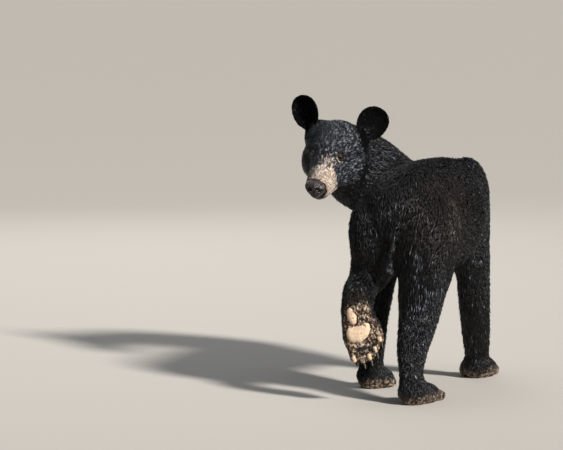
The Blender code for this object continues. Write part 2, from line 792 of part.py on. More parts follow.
def main():
    clear_scene()
    coat = material("coat", COAT)
    tan_coat = material("muzzle_coat", TAN_COAT)
    nose_leather = material("nose_leather", NOSE_LEATHER)
    eye_surface = material("eye", EYE_BROWN)
    claw_horn = material("claw", CLAW_HORN)
    pad_leather = material("pad", PAD_LEATHER)
    frames = paw_frames()

    body = model_body(frames)
    head, muzzle, jaw = part_head(body)
    legs = part_legs(body, frames)
    trunk = part_trunk(body)
    for piece in (head, muzzle, jaw, *legs, *trunk):
        weld_short_edges(piece)
    neck, rump = trunk[0], trunk[2]
    tail = trimmed(tail_piece(), rump)

    ears, eyes = [], []
    for side, name in ((LEFT, "left"), (RIGHT, "right")):
        ears.append(trimmed(trimmed(ear_piece(f"ear_{name}", side), head), neck))
        place = HEAD_FRAME @ Vector((side * EYE_PLACE.x, EYE_PLACE.y, EYE_PLACE.z))
        eye = ball_piece(f"eye_{name}", Matrix.Translation(place) @ Matrix.Scale(EYE_RADIUS, 4), 10, 7)
        eyes.append(seated(eye, head))
    nose = seated(nose_piece(), muzzle)
    trimmed(nose, jaw)

    paws = {piece.name: piece for piece in legs if "paw" in piece.name}
    pads = [trimmed(pad, paws["hindpaw_left"]) for pad in sole_pads(frames["hindpaw_left"])]
    claws = []
    for paw_name, frame in frames.items():
        side = LEFT if paw_name.endswith("left") else RIGHT
        reach, length = FORE_TOE_REACH, FORE_CLAW_LENGTH
        if paw_name.startswith("hind"):
            reach, length = HIND_TOE_REACH, HIND_CLAW_LENGTH
        for toe in TOES:
            claw = claw_piece(f"claw_{paw_name}_{toe + 3}", frame, toe_tip(toe, side, reach), length)
            claws.append(trimmed(claw, paws[paw_name]))

    furred = [head, *legs, *trunk, tail, *ears]
    for pieces, surface in (
        (furred, coat),
        ((muzzle, jaw), tan_coat),
        ((nose,), nose_leather),
        (eyes, eye_surface),
        (claws, claw_horn),
        (pads, pad_leather),
    ):
        for piece in pieces:
            finish(piece, surface)
    centre_on_floor(list(bpy.data.objects))


main()
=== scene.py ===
"""The looks of a yearling black bear, life size: its skin, coat, eyes, nose leather, claws and pads."""

import math

import bmesh
import bpy
import numpy as np
from mathutils import Matrix, Vector
from mathutils.bvhtree import BVHTree


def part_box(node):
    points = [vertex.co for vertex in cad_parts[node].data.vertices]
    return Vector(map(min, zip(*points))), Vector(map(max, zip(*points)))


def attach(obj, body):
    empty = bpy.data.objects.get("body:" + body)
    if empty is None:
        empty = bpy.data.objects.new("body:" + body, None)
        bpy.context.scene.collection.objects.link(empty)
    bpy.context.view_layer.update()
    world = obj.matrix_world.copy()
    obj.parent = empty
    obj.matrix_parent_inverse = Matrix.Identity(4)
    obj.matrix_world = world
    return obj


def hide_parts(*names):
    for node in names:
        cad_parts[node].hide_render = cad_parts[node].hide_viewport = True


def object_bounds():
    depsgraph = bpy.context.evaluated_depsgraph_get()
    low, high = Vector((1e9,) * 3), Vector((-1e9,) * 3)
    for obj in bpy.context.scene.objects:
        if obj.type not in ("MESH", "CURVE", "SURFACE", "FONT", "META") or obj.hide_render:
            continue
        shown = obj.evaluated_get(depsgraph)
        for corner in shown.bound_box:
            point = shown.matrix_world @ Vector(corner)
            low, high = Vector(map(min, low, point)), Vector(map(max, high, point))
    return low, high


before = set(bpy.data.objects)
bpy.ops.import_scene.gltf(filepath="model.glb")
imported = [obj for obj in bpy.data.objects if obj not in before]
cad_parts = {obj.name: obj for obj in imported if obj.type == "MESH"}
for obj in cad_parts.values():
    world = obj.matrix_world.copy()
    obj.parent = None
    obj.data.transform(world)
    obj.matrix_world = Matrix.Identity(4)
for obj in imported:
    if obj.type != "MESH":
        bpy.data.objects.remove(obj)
cad_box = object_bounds()


# ---------------------------------------------------------------- studio
# The bear stands on a plain pale floor under a low sun and two soft panels. The camera is low and far off,
# behind the bear and a little to its right, and has the lifted foot and the turned head in a long lens.

CAMERA_ROUND = math.radians(16.0)
CAMERA_ABOVE = math.radians(6.0)
CAMERA_AWAY = 14.0
SENSOR = 36.0
LENS_PER_SENSOR = 10.9414
AIM_FROM_MIDDLE = Vector((-0.1340, -0.3448, 0.0731))
LAMPS_AIM = Vector((0, 0, 0.35))
SKY_GLOW = ((0.86, 0.90, 0.96, 1.0), 0.11)
BACKDROP = (0.73, 0.69, 0.63, 1.0)
FLOOR_PAINT = ((0.50, 0.47, 0.43, 1.0), 0.9)
FLOOR_HALF = 45


def link(name, data):
    made = bpy.data.objects.new(name, data)
    bpy.context.scene.collection.objects.link(made)
    return made


def stand(name, data, place, way):
    """Puts a camera or a lamp in its place, facing that way."""
    made = link(name, data)
    made.location = place
    made.rotation_mode = "QUATERNION"
    made.rotation_quaternion = way.to_track_quat("-Z", "Y")
    return made


def lamp(name, kind, place, power, colour, **settings):
    """A lamp of that kind that faces the middle of the bear."""
    data = bpy.data.lights.new(name, kind)
    for setting, value in {"energy": power, "color": colour, **settings}.items():
        setattr(data, setting, value)
    stand(name, data, place, LAMPS_AIM - Vector(place))


to_camera = Vector((
    math.sin(CAMERA_ROUND) * math.cos(CAMERA_ABOVE),
    -math.cos(CAMERA_ROUND) * math.cos(CAMERA_ABOVE),
    math.sin(CAMERA_ABOVE),
))
aim = (cad_box[0] + cad_box[1]) / 2 + AIM_FROM_MIDDLE
camera_data = bpy.data.cameras.new("camera")
camera_data.sensor_width, camera_data.lens, camera_data.clip_end = SENSOR, SENSOR * LENS_PER_SENSOR, 200.0
bpy.context.scene.camera = stand("camera", camera_data, aim + to_camera * CAMERA_AWAY, -to_camera)

lamp("key_light", "SUN", (2.9, -1.8, 2.4), 6.0, (1.0, 0.97, 0.93), angle=math.radians(7))
lamp("sky_light", "AREA", (-0.6, 0.6, 3.4), 30.0, (0.86, 0.93, 1.0), shape="SQUARE", size=2.6)
lamp("front_light", "AREA", (-1.6, 3.0, 1.8), 16.0, (1.0, 0.98, 0.95), shape="SQUARE", size=2.0)

sky = bpy.data.worlds.new("studio")
sky.use_nodes = True
nodes, links = sky.node_tree.nodes, sky.node_tree.links
glow = nodes["Background"]
backdrop, either = nodes.new("ShaderNodeBackground"), nodes.new("ShaderNodeMixShader")
glow.inputs["Color"].default_value, glow.inputs["Strength"].default_value = SKY_GLOW
backdrop.inputs["Color"].default_value = BACKDROP
links.new(nodes.new("ShaderNodeLightPath").outputs["Is Camera Ray"], either.inputs[0])
links.new(glow.outputs[0], either.inputs[1])
links.new(backdrop.outputs[0], either.inputs[2])
links.new(either.outputs[0], nodes["World Output"].inputs[0])
bpy.context.scene.world = sky
bpy.context.scene.view_settings.view_transform = "Standard"

floor_mesh = bpy.data.meshes.new("floor")
floor_mesh.from_pydata(
    [(x * FLOOR_HALF, y * FLOOR_HALF, 0) for x, y in ((-1, -1), (1, -1), (1, 1), (-1, 1))], [], [(0, 1, 2, 3)]
)
floor_paint = bpy.data.materials.new("floor_paint")
floor_paint.use_nodes = True
paint = floor_paint.node_tree.nodes["Principled BSDF"].inputs
paint["Base Color"].default_value, paint["Roughness"].default_value = FLOOR_PAINT
floor_mesh.materials.append(floor_paint)
floor = link("floor", floor_mesh)


# ---------------------------------------------------------------- skin
# One unbroken black skin over head, neck, trunk, legs, ears and tail, which lies under the coat by the
# coat's own depth. A model maker casts it in one and then works the lids, lips and wrinkles into the face.

LEFT, RIGHT = -1, 1
FLESH = (
    "barrel", "chest", "rump", "neck", "head", "muzzle", "lower_jaw", "tail", "ear_left", "ear_right",
    "thigh_left", "shank_left", "hindpaw_left", "thigh_right", "shank_right", "hindpaw_right",
    "upper_foreleg_left", "lower_foreleg_left", "forepaw_left",
    "upper_foreleg_right", "lower_foreleg_right", "forepaw_right",
)
FILLED_SEATS = ("eye_left", "eye_right", "nose")
KERF_FILL = 0.0006
SKIN_GRAIN = 0.0022
SKIN_TRIANGLES = 150000
# Each point is rounded off with its neighbours for so many rounds: all over, then not on ears and paws, then
# not on the face either, so that the small forms keep their shape.
ROUNDS_ON_ALL, ROUNDS_ON_FACE, ROUNDS_ON_BODY = 6, 20, 70
ROUNDS_IN_VALLEYS = 16
# The coat's depth, from its tips down to the skin.
BODY_DEPTH, LEG_DEPTH, PAW_DEPTH = 0.0085, 0.0060, 0.0030
HEAD_DEPTH, MUZZLE_DEPTH, EAR_DEPTH = 0.0038, 0.0013, 0.0012
PAW_REACH = {"fore": 0.080, "hind": 0.105}


def turned(yaw=0.0, pitch=0.0, roll=0.0):
    """A turn about the frame's own Y, then X, then Z, in degrees."""
    return (
        Matrix.Rotation(math.radians(yaw), 4, "Z")
        @ Matrix.Rotation(math.radians(pitch), 4, "X")
        @ Matrix.Rotation(math.radians(roll), 4, "Y")
    )


def axes_matrix(origin, right, forward, up):
    """The matrix of a frame from its origin and three unit axes."""
    return Matrix.Translation(origin) @ Matrix((right, forward, up)).transposed().to_4x4()


# The head's own frame has Y out of the nose, Z out of the crown and X to the bear's right. The eye's box
# says where the head stands, and every other place on the bear is given from the same workshop origin.
EYE_PLACE = Vector((0.033, 0.074, 0.0155))
HEAD_TURN = turned(yaw=177.4, pitch=-20.5, roll=-8.2) @ Matrix.Scale(0.98, 4)
HEAD_CENTRE = Vector((-0.259, 0.470, 0.534))
eye_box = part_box("eye_left")
from_workshop = (eye_box[0] + eye_box[1]) / 2 - (
    Matrix.Translation(HEAD_CENTRE) @ HEAD_TURN @ Vector((-EYE_PLACE.x, EYE_PLACE.y, EYE_PLACE.z))
)
WORKSHOP = Matrix.Translation(from_workshop)
HEAD = WORKSHOP @ Matrix.Translation(HEAD_CENTRE) @ HEAD_TURN


def sole_frames():
    """Each paw's own frame: its origin under the wrist or heel, Y to the toes and Z up from the sole."""
    toes_down = Vector((0.325, 0.02, -0.945)).normalized()
    sole_back = Vector((0.16, -0.98, -0.02))
    right = toes_down.cross(-sole_back).normalized()
    return {
        "forepaw_left": WORKSHOP @ Matrix.Translation((-0.108, 0.240, -0.0025)) @ turned(yaw=-6),
        "forepaw_right": WORKSHOP @ Matrix.Translation((0.080, 0.492, -0.0025)) @ turned(yaw=8),
        "hindpaw_left": WORKSHOP @ axes_matrix(
            Vector((-0.066, -0.058, 0.204)), right, toes_down, right.cross(toes_down)
        ),
        "hindpaw_right": WORKSHOP @ Matrix.Translation((0.057, -0.008, -0.0025)) @ turned(yaw=-4),
    }


SOLES = sole_frames()


def ear_frame(side):
    """The ear's own frame: Z along its axis, which leans outwards, and Y out of its open front."""
    axis = Vector((side * 0.36, -0.30, 0.88)).normalized()
    front = Vector((side * 0.28, 0.95, 0.10))
    right = front.cross(axis).normalized()
    return HEAD @ axes_matrix(Vector((side * 0.083, -0.016, 0.069)), right, axis.cross(right), axis)


EARS = {side: ear_frame(side) for side in (LEFT, RIGHT)}


def applied(obj):
    """The object with its modifiers made real."""
    graph = bpy.context.evaluated_depsgraph_get()
    graph.update()
    mesh = bpy.data.meshes.new_from_object(obj.evaluated_get(graph))
    obj.modifiers.clear()
    old, obj.data = obj.data, mesh
    bpy.data.meshes.remove(old)
    return obj


def points_of(mesh):
    points = np.empty(len(mesh.vertices) * 3)
    mesh.vertices.foreach_get("co", points)
    return points.reshape(-1, 3)


def normals_of(mesh):
    normals = np.empty(len(mesh.vertices) * 3)
    mesh.vertex_normals.foreach_get("vector", normals)
    return normals.reshape(-1, 3)


def set_points(mesh, points):
    mesh.vertices.foreach_set("co", points.ravel())
    mesh.update()


def through(matrix, points):
    """The points taken through a matrix."""
    m = np.array(matrix)
    return points @ m[:3, :3].T + m[:3, 3]


def rise(value, low, high):
    """0 below low, 1 above high, and a smooth rise between them."""
    share = np.clip((value - low) / (high - low), 0.0, 1.0)
    return share * share * (3 - 2 * share)


class Neighbours:
    """Which points of a mesh are joined by an edge, for evening out what lies on them."""

    def __init__(self, mesh):
        self.count = len(mesh.vertices)
        ends = np.empty(len(mesh.edges) * 2, np.int64)
        mesh.edges.foreach_get("vertices", ends)
        self.one, self.other = ends.reshape(-1, 2).T
        self.degree = np.maximum(np.bincount(ends, minlength=self.count), 1)[:, None]

    def mean(self, values):
        total = np.empty_like(values)
        for column in range(values.shape[1]):
            total[:, column] = np.bincount(self.one, values[self.other, column], self.count)
            total[:, column] += np.bincount(self.other, values[self.one, column], self.count)
        return total / self.degree

    def even(self, values, times):
        for _ in range(times):
            values = values + 0.5 * (self.mean(values) - values)
        return values


def mesh_of(name, bm):
    """A plain mesh of what was drawn in the BMesh, which is then freed."""
    mesh = bpy.data.meshes.new(name)
    bm.to_mesh(mesh)
    bm.free()
    return mesh


def pour(form, whole):
    """Adds a form to the whole, by way of a mesh."""
    step = mesh_of("step", form)
    whole.from_mesh(step)
    bpy.data.meshes.remove(step)


def fused(name, whole, grain):
    """All that was poured into the whole as one closed surface on an even grain."""
    made = link(name, mesh_of(name, whole))
    fuse = made.modifiers.new("fuse", "REMESH")
    fuse.mode, fuse.voxel_size = "VOXEL", grain
    return applied(made)


def cast_flesh():
    """Every piece of flesh in one closed skin: the thin kerfs and the seats of eyes and nose are filled."""
    whole = bmesh.new()
    for name in FLESH + FILLED_SEATS:
        piece = bmesh.new()
        piece.from_mesh(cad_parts[name].data)
        bmesh.ops.remove_doubles(piece, verts=piece.verts, dist=1e-6)
        piece.normal_update()
        for vertex, normal in [(v, v.normal.copy()) for v in piece.verts]:
            vertex.co += normal * KERF_FILL
        pour(piece, whole)
    return fused("skin", whole, SKIN_GRAIN)


def surface_of(mesh):
    """The mesh as a surface on which the nearest place can be found."""
    faces = [tuple(face.vertices) for face in mesh.polygons]
    return BVHTree.FromPolygons([tuple(point) for point in points_of(mesh)], faces)


def distance_from(points, place):
    return np.linalg.norm(points - np.array(place), axis=1)


def nearness(points, matrix, low, high, near, far):
    """1 inside a box in the frame of the matrix, falling to 0 as a point leaves it by near to far metres."""
    local = through(matrix.inverted(), points)
    outside = np.maximum(np.maximum(np.array(low) - local, local - np.array(high)), 0.0)
    return 1.0 - rise(np.linalg.norm(outside, axis=1), near, far)


def on_head(points):
    return nearness(points, HEAD, (-0.06, -0.05, -0.05), (0.06, 0.16, 0.05), 0.020, 0.055)


def on_ears(points):
    return np.maximum.reduce([
        nearness(points, matrix, (-0.035, -0.02, -0.02), (0.035, 0.0, 0.045), 0.006, 0.022)
        for matrix in EARS.values()
    ])


def on_paws(points):
    return np.maximum.reduce([
        nearness(points, matrix, (-0.04, 0.0, -0.005), (0.04, PAW_REACH[name[:4]], 0.040), 0.010, 0.040)
        for name, matrix in SOLES.items()
    ])


skin = cast_flesh()
cast_surface = surface_of(skin.data)
joined = Neighbours(skin.data)
skin_points = points_of(skin.data)
small = np.maximum(on_ears(skin_points), on_paws(skin_points))
body_share = np.clip(1.0 - np.maximum(on_head(skin_points), small), 0.0, 1.0)[:, None]
small_share = (1.0 - small)[:, None]
for step in range(ROUNDS_ON_BODY):
    share = 1.0 if step < ROUNDS_ON_ALL else (small_share if step < ROUNDS_ON_FACE else body_share)
    skin_points = skin_points + 0.5 * share * (joined.mean(skin_points) - skin_points)
set_points(skin.data, skin_points)

# Past the smoothing, the valleys between muzzle, brow and cheek are filled a little, as flesh fills them.
head_share = on_head(skin_points)[:, None]
for step in range(ROUNDS_IN_VALLEYS):
    pull = joined.mean(skin_points) - skin_points
    outward = np.einsum("ij,ij->i", pull, normals_of(skin.data))[:, None]
    skin_points = skin_points + 0.5 * head_share * np.where(outward > 0, 1.0, 0.15) * pull
    set_points(skin.data, skin_points)


def coat_depth(points):
    """How far the skin lies under the tips of the coat."""
    local = through(HEAD.inverted(), points)
    muzzle = rise(local[:, 1], 0.070, 0.105) * (1 - rise(np.abs(local[:, 0]), 0.05, 0.06)) * on_head(points)
    depth = np.full(len(points), BODY_DEPTH)
    for there, share in (
        (LEG_DEPTH, 1 - rise(points[:, 2], 0.20, 0.34)),
        (HEAD_DEPTH, on_head(points)),
        (MUZZLE_DEPTH, muzzle),
        (PAW_DEPTH, on_paws(points)),
        (EAR_DEPTH, on_ears(points)),
    ):
        depth = depth + (there - depth) * share
    return depth


lower = points_of(skin.data)
inset = joined.even(coat_depth(lower)[:, None], 12)[:, 0]
standing = np.minimum(rise(lower[:, 2], 0.001, 0.010) + 0.15, 1.0)
skin_points = lower - normals_of(skin.data) * (inset * standing)[:, None]
skin_points[:, 2] = np.maximum(skin_points[:, 2], 0.0004)
set_points(skin.data, joined.even(skin_points, 2))


# The face is worked at a finer grain. Each eye lies back in its socket under two lids, the mouth is a closed
# dark line with its upper lip hanging over it, and the corners of the eyes run out into small furrows.
EYE_RADIUS = 0.0094
EYE_SINK = 0.0034
LID = 0.0013
EYE_HALF_WIDTH = 0.0073
EYE_HALF_HEIGHT = 0.0042
EYE_FINE = 0.0165
OPENING_DEPTH, UPPER_LID_FOLD, LID_CREASE, FURROW = 0.0024, 0.0005, 0.0006, 0.0010
LIP_GROOVE, LIP_TUCK, LIP_HANG, LIP_MIDDLE = 0.0024, 0.0014, 0.0009, 0.0011
MOUTH_PARTED, MOUTH_FINE = 0.006, 0.008
NOSE_SEAT_DEPTH = 0.0050


def eye_axes(side):
    """The socket in the head's frame: its centre, and the ways outwards, upwards and out of the head."""
    out_of_head = Vector((side * 0.56, 0.81, 0.13)).normalized()
    up = Vector((side * 0.10, 0.0, 1.0))
    up = (up - out_of_head * up.dot(out_of_head)).normalized()
    outwards = side * out_of_head.cross(up)
    if outwards.x * side < 0:
        outwards = -outwards
    centre = Vector((side * EYE_PLACE.x, EYE_PLACE.y, EYE_PLACE.z)) - EYE_SINK * out_of_head
    return centre, outwards, up, out_of_head


def finer(wanted, cuts):
    """Parts the faces of the skin whose corners are all wanted."""
    bm = bmesh.new()
    bm.from_mesh(skin.data)
    bm.verts.ensure_lookup_table()
    edges = [edge for edge in bm.edges if all(wanted[vertex.index] for vertex in edge.verts)]
    bmesh.ops.subdivide_edges(bm, edges=edges, cuts=cuts, use_grid_fill=True)
    bm.to_mesh(skin.data)
    bm.free()


def near_eyes(local):
    share = np.zeros(len(local), bool)
    for side in (LEFT, RIGHT):
        centre, _, _, out_of_head = eye_axes(side)
        share |= distance_from(local, centre + EYE_SINK * out_of_head) < EYE_FINE
    return share


def mouth_height(y):
    """The height of the line between the lips, from its front to its corner."""
    back = np.clip((0.157 - y) / 0.075, 0.0, 1.0)
    return -0.0585 + 0.0080 * back - 0.0018 * np.sin(math.pi * back)


def on_muzzle(local):
    return (local[:, 1] > 0.070) & (local[:, 1] < 0.20) & (np.abs(local[:, 0]) < 0.045) & (local[:, 2] < 0.03)


def by_mouth(local, reach):
    return on_muzzle(local) & (np.abs(local[:, 2] - mouth_height(local[:, 1])) < reach)


def nose_seat(local):
    """1 under the leather of the nose, 0 outside it."""
    across, along = local[:, 0] / 0.0275, (local[:, 1] - 0.162) / 0.0215
    above = (local[:, 2] + 0.032) / 0.0240
    return 1 - rise(np.sqrt(across ** 2 + along ** 2 + above ** 2), 0.86, 1.04)


def work_face(local, normals):
    """The points of the face, in the head's frame, once its folds are worked in."""
    near_front = on_muzzle(local) & (local[:, 2] > -0.09)
    above_lips = local[:, 2] - mouth_height(local[:, 1])
    closed = near_front * rise(local[:, 1], 0.076, 0.086)
    groove = LIP_GROOVE * np.exp(-(above_lips / 0.0013) ** 2)
    tucked = LIP_TUCK * rise(above_lips, -0.016, -0.008) * (1 - rise(above_lips, -0.003, 0.0))
    hang = -LIP_HANG * rise(above_lips, 0.0006, 0.0030) * (1 - rise(above_lips, 0.006, 0.014))
    middle = LIP_MIDDLE * np.exp(-(local[:, 0] / 0.0011) ** 2)
    middle = middle * rise(local[:, 1], 0.150, 0.160) * (above_lips > 0)
    folds = closed * (groove + tucked + hang + middle)
    moved = local - normals * (folds + NOSE_SEAT_DEPTH * nose_seat(local))[:, None]
    for side in (LEFT, RIGHT):
        centre, outwards, up, out_of_head = (np.array(axis) for axis in eye_axes(side))
        away = moved - centre
        across, above, out = away @ outwards, away @ up, away @ out_of_head
        spread = np.hypot(across, above)
        near = (spread < 0.024) & (np.abs(out) < 0.018)
        # The upper lid is thicker, with a crease over it; the lower one is a thin soft edge.
        ball = np.sqrt(np.maximum((EYE_RADIUS + LID) ** 2 - spread**2, 1e-8))
        lids = ball + UPPER_LID_FOLD * rise(above, 0.0, 0.004)
        share = 1 - rise(spread, 0.0058, 0.0102)
        shaped = share * lids + (1 - share) * out
        # The opening: an almond, pointed at its inner corner and fuller above than below.
        lift = above - 0.10 * across
        half_height = EYE_HALF_HEIGHT * np.where(lift > 0, 1.0, 0.82)
        inner = np.where(across < 0, 1.12, 1.0) * EYE_HALF_WIDTH
        opening = (np.abs(across) / inner) ** 1.7 + (np.abs(lift) / half_height) ** 2
        sunk = np.sqrt(np.maximum(EYE_RADIUS**2 - spread**2, 1e-8)) - OPENING_DEPTH
        edge = 1 - rise(opening, 0.92, 1.18)
        shaped = shaped * (1 - edge) + sunk * edge
        crease = np.exp(-((spread - 0.0088) / 0.0009) ** 2) * rise(above, -0.002, 0.003)
        shaped = shaped - LID_CREASE * crease
        # A furrow runs from the inner corner down beside the muzzle, and one from the outer corner back.
        for way, reach in ((-1, 0.012), (1, 0.009)):
            along = way * across - inner
            furrow = rise(along, -0.001, 0.001) * (1 - rise(along, 0.3 * reach, reach))
            line = above - 0.10 * across + (0.30 * along if way < 0 else 0.10 * along)
            shaped = shaped - FURROW * furrow * np.exp(-(line / 0.0012) ** 2)
        moved = np.where(near[:, None], moved + (shaped - out)[:, None] * out_of_head, moved)
    return moved


head_back = HEAD.inverted()
finer(near_eyes(through(head_back, points_of(skin.data))), 3)
local = through(head_back, points_of(skin.data))
finer(by_mouth(local, MOUTH_PARTED) & (local[:, 1] > 0.074), 2)
local = through(head_back, points_of(skin.data))
local_normals = normals_of(skin.data) @ np.array(head_back.to_3x3()).T
local_normals /= np.linalg.norm(local_normals, axis=1, keepdims=True)
fine = near_eyes(local) | by_mouth(local, MOUTH_FINE)
set_points(skin.data, through(HEAD, work_face(local, local_normals)))


def near_lines(points, lines):
    """The most that any line gives at each point. A line has two ends, a reach and what it gives."""
    given = np.zeros(len(points))
    for start, end, reach, most in lines:
        start, span = np.array(start), np.array(end) - np.array(start)
        along = np.clip((points - start) @ span / (span @ span), 0.0, 1.0)
        apart = np.linalg.norm(points - start - along[:, None] * span, axis=1)
        given = np.maximum(given, most * np.exp(-(apart / reach) ** 2))
    return given


# How deep the rump falls in on each side of the tail's root; it is deepest on the right. The coat in these
# hollows is also painted darker, as painted shade.
BESIDE_TAIL = (
    ((0.149, -0.334, 0.410), (0.131, -0.325, 0.345), 0.0125, 0.012),
    ((0.103, -0.331, 0.400), (0.092, -0.310, 0.335), 0.0125, 0.006),
)
# Painted glints: how much lighter the coat is painted, as highlights, over the tail, down the back of the
# right thigh, and on the left hock.
PAINTED_GLINTS = (
    ((0.088, -0.326, 0.444), (0.150, -0.334, 0.426), 0.022, 0.70),
    ((0.124, -0.336, 0.410), (0.110, -0.327, 0.355), 0.006, 1.00),
    ((0.110, -0.327, 0.355), (0.100, -0.299, 0.304), 0.005, 1.00),
    ((0.178, -0.328, 0.345), (0.184, -0.314, 0.225), 0.036, 0.85),
    ((0.040, -0.342, 0.280), (0.060, -0.362, 0.250), 0.022, 0.55),
)

points = points_of(skin.data)
set_points(skin.data, points - normals_of(skin.data) * near_lines(points, BESIDE_TAIL)[:, None])

# The flattest parts of the skin are thinned out first, and not at all round the eyes and along the lips.
may_thin = skin.vertex_groups.new(name="may_thin")
may_thin.add([int(index) for index in np.flatnonzero(~fine)], 1.0, "REPLACE")
thin = skin.modifiers.new("thin", "DECIMATE")
thin.ratio = min(1.0, SKIN_TRIANGLES / sum(len(face.vertices) - 2 for face in skin.data.polygons))
thin.use_collapse_triangulate = True
thin.vertex_group, thin.vertex_group_factor = may_thin.name, 10.0
applied(skin)
skin.vertex_groups.clear()


def face_markings(local):
    """How tan and how brown the face is, at points in the head's frame."""
    aside = np.abs(local[:, 0])
    forward = local[:, 1] - 0.45 * (local[:, 2] + 0.02) - 1.4 * np.maximum(aside - 0.026, 0.0)
    grizzled = 0.44 * rise(forward, 0.052, 0.084) * (1 - rise(aside, 0.020, 0.034))
    tan = np.maximum(rise(forward, 0.086, 0.116), grizzled)
    tan = tan * (distance_from(local, (0, 0.12, -0.03)) < 0.075)
    brown = np.zeros(len(local))
    for side in (LEFT, RIGHT):
        centre, outwards, up, out_of_head = (np.array(axis) for axis in eye_axes(side))
        away = local - centre
        apart = np.linalg.norm(away, axis=1)
        in_front = away @ out_of_head > 0
        ring = np.exp(-((apart - 0.0128) / 0.0030) ** 2) * in_front
        tan = np.maximum(tan, 0.54 * ring * rise(-(away @ outwards) - 0.9 * (away @ up), -0.004, 0.008))
        brown = np.maximum(brown, 0.8 * ring)
        brow = distance_from(local, (side * 0.0245, 0.080, 0.026))
        tan = np.maximum(tan, 0.30 * (1 - rise(brow, 0.002, 0.010)))
        tan = tan * (1 - (1 - rise(apart, 0.0086, 0.0104)) * in_front)
    under_nose = np.hypot(local[:, 0] / 0.027, (local[:, 2] + 0.040) / 0.020)
    tan = tan * (1 - (1 - rise(under_nose, 0.85, 1.05)) * rise(local[:, 1], 0.146, 0.152))
    tan = tan * (1 - rise(nose_seat(local), 0.02, 0.35))
    # The right side of the muzzle is darkened with black-grizzled hair: painted shade on the side away
    # from the light.
    right_side = rise(local[:, 0], -0.014, 0.019) * rise(local[:, 2] + 0.62 * local[:, 1], 0.018, 0.040)
    return tan * (1 - 0.66 * right_side), brown


def dust_on(points):
    """Dust on all feet and mud on the lifted one; the hollow behind its toes is left dark as painted shade.
    """
    dust = 0.75 * (1 - rise(points[:, 2], 0.004, 0.050))
    sole = through(SOLES["hindpaw_left"].inverted(), points)
    on_foot = (np.abs(sole[:, 0]) < 0.06) & (sole[:, 1] > -0.05) & (sole[:, 1] < 0.13) & (sole[:, 2] < 0.08)
    muddy = on_foot * (1 - rise(sole[:, 2], 0.004, 0.030)) * rise(sole[:, 1], -0.045, -0.015)
    # Painted shade: the mud is taken out of the arc between the big pad and the toes, so it shows dark.
    arch = 0.074 - 9.0 * (sole[:, 0] - 0.002) ** 2
    shaded_hollow = np.exp(-((sole[:, 1] - arch) / 0.0065) ** 2) * (np.abs(sole[:, 0] - 0.003) < 0.027)
    return np.maximum(dust, muddy * (1 - 0.85 * shaded_hollow))


def markings(points):
    """How tan, how dusty and how brown the coat is at each point, from 0 to 1."""
    local = through(HEAD.inverted(), points)
    tan, brown = face_markings(local)
    inside_ear = through(EARS[RIGHT].inverted(), points)
    tufted = np.exp(-(distance_from(inside_ear, (0.004, -0.012, -0.026)) / 0.009) ** 2)
    tan = np.maximum(tan, 0.34 * tufted * (inside_ear[:, 1] > -0.022))
    lips = np.abs(local[:, 2] - mouth_height(local[:, 1]) + 0.0006)
    tan = tan * (1 - on_muzzle(local) * (1 - rise(lips, 0.0012, 0.0030)))
    hock = distance_from(points, WORKSHOP @ Vector((-0.066, -0.062, 0.250)))
    brown = np.maximum(brown, 1.3 * (1 - rise(hock, 0.020, 0.055)))
    hips = through(WORKSHOP.inverted(), points)
    hip = rise(hips[:, 0], 0.02, 0.09) * rise(hips[:, 2], 0.30, 0.40) * (1 - rise(hips[:, 1], 0.18, 0.38))
    brown = np.maximum(brown, hip * (1 - near_lines(points, PAINTED_GLINTS)))
    return {"tan": tan, "dust": dust_on(points), "brown": brown}


def carry(mesh, facts):
    """Writes what is known of each point into the mesh, for its finish to read."""
    for fact, values in facts.items():
        attribute = mesh.attributes.new(fact, "FLOAT", "POINT")
        attribute.data.foreach_set("value", np.asarray(values, np.float32))


def laid(tree, kind, **values):
    """A node of a shader tree, with its settings, its plain inputs and the sockets that feed it."""
    made = tree.nodes.new(kind)
    made.location.x = 200 * len(tree.nodes)
    for name, value in values.items():
        socket = made.inputs.get(name.replace("_", " "))
        if socket is None or hasattr(made, name):
            setattr(made, name, value)
        elif isinstance(value, bpy.types.NodeSocket):
            tree.links.new(value, socket)
        else:
            socket.default_value = value
    return made


def object_place(tree):
    return laid(tree, "ShaderNodeTexCoord").outputs["Object"]


def known(tree, fact):
    """What a point carries of that fact."""
    return laid(tree, "ShaderNodeAttribute", attribute_name=fact).outputs["Fac"]


def noise(tree, place, scale, detail, **values):
    return laid(tree, "ShaderNodeTexNoise", Vector=place, Scale=scale, Detail=detail, **values).outputs["Fac"]


def cells(tree, place, scale, **values):
    return laid(tree, "ShaderNodeTexVoronoi", Vector=place, Scale=scale, **values).outputs["Distance"]


def ramp(tree, share, stops):
    """The colour that a share picks from (place, colour) stops."""
    made = laid(tree, "ShaderNodeValToRGB", Fac=share)
    band = made.color_ramp
    while len(band.elements) < len(stops):
        band.elements.new(0.5)
    for element, (place, colour) in zip(band.elements, stops):
        element.position, element.color = place, (*colour, 1.0)
    return made.outputs["Color"]


def fill(tree, sockets, values):
    """Gives each socket its value: a number, a colour, or the socket that feeds it."""
    for socket, value in zip(sockets, values):
        if isinstance(value, bpy.types.NodeSocket):
            tree.links.new(value, socket)
        else:
            socket.default_value = (*value, 1.0) if isinstance(value, tuple) else value


def mixed(tree, share, first, second):
    """The blend of two colours by a share."""
    made = laid(tree, "ShaderNodeMix", data_type="RGBA", Factor=share)
    fill(tree, made.inputs[6:8], (first, second))
    return made.outputs[2]


def reckoned(tree, operation, *values, clamp=False):
    """A math node on sockets or numbers."""
    made = laid(tree, "ShaderNodeMath", operation=operation, use_clamp=clamp)
    fill(tree, made.inputs, values)
    return made.outputs[0]


def spread(tree, value, low, high, to_low=0.0, to_high=1.0):
    """A value taken from one range to another."""
    ends = {"From_Min": low, "From_Max": high, "To_Min": to_low, "To_Max": to_high}
    return laid(tree, "ShaderNodeMapRange", Value=value, **ends).outputs["Result"]
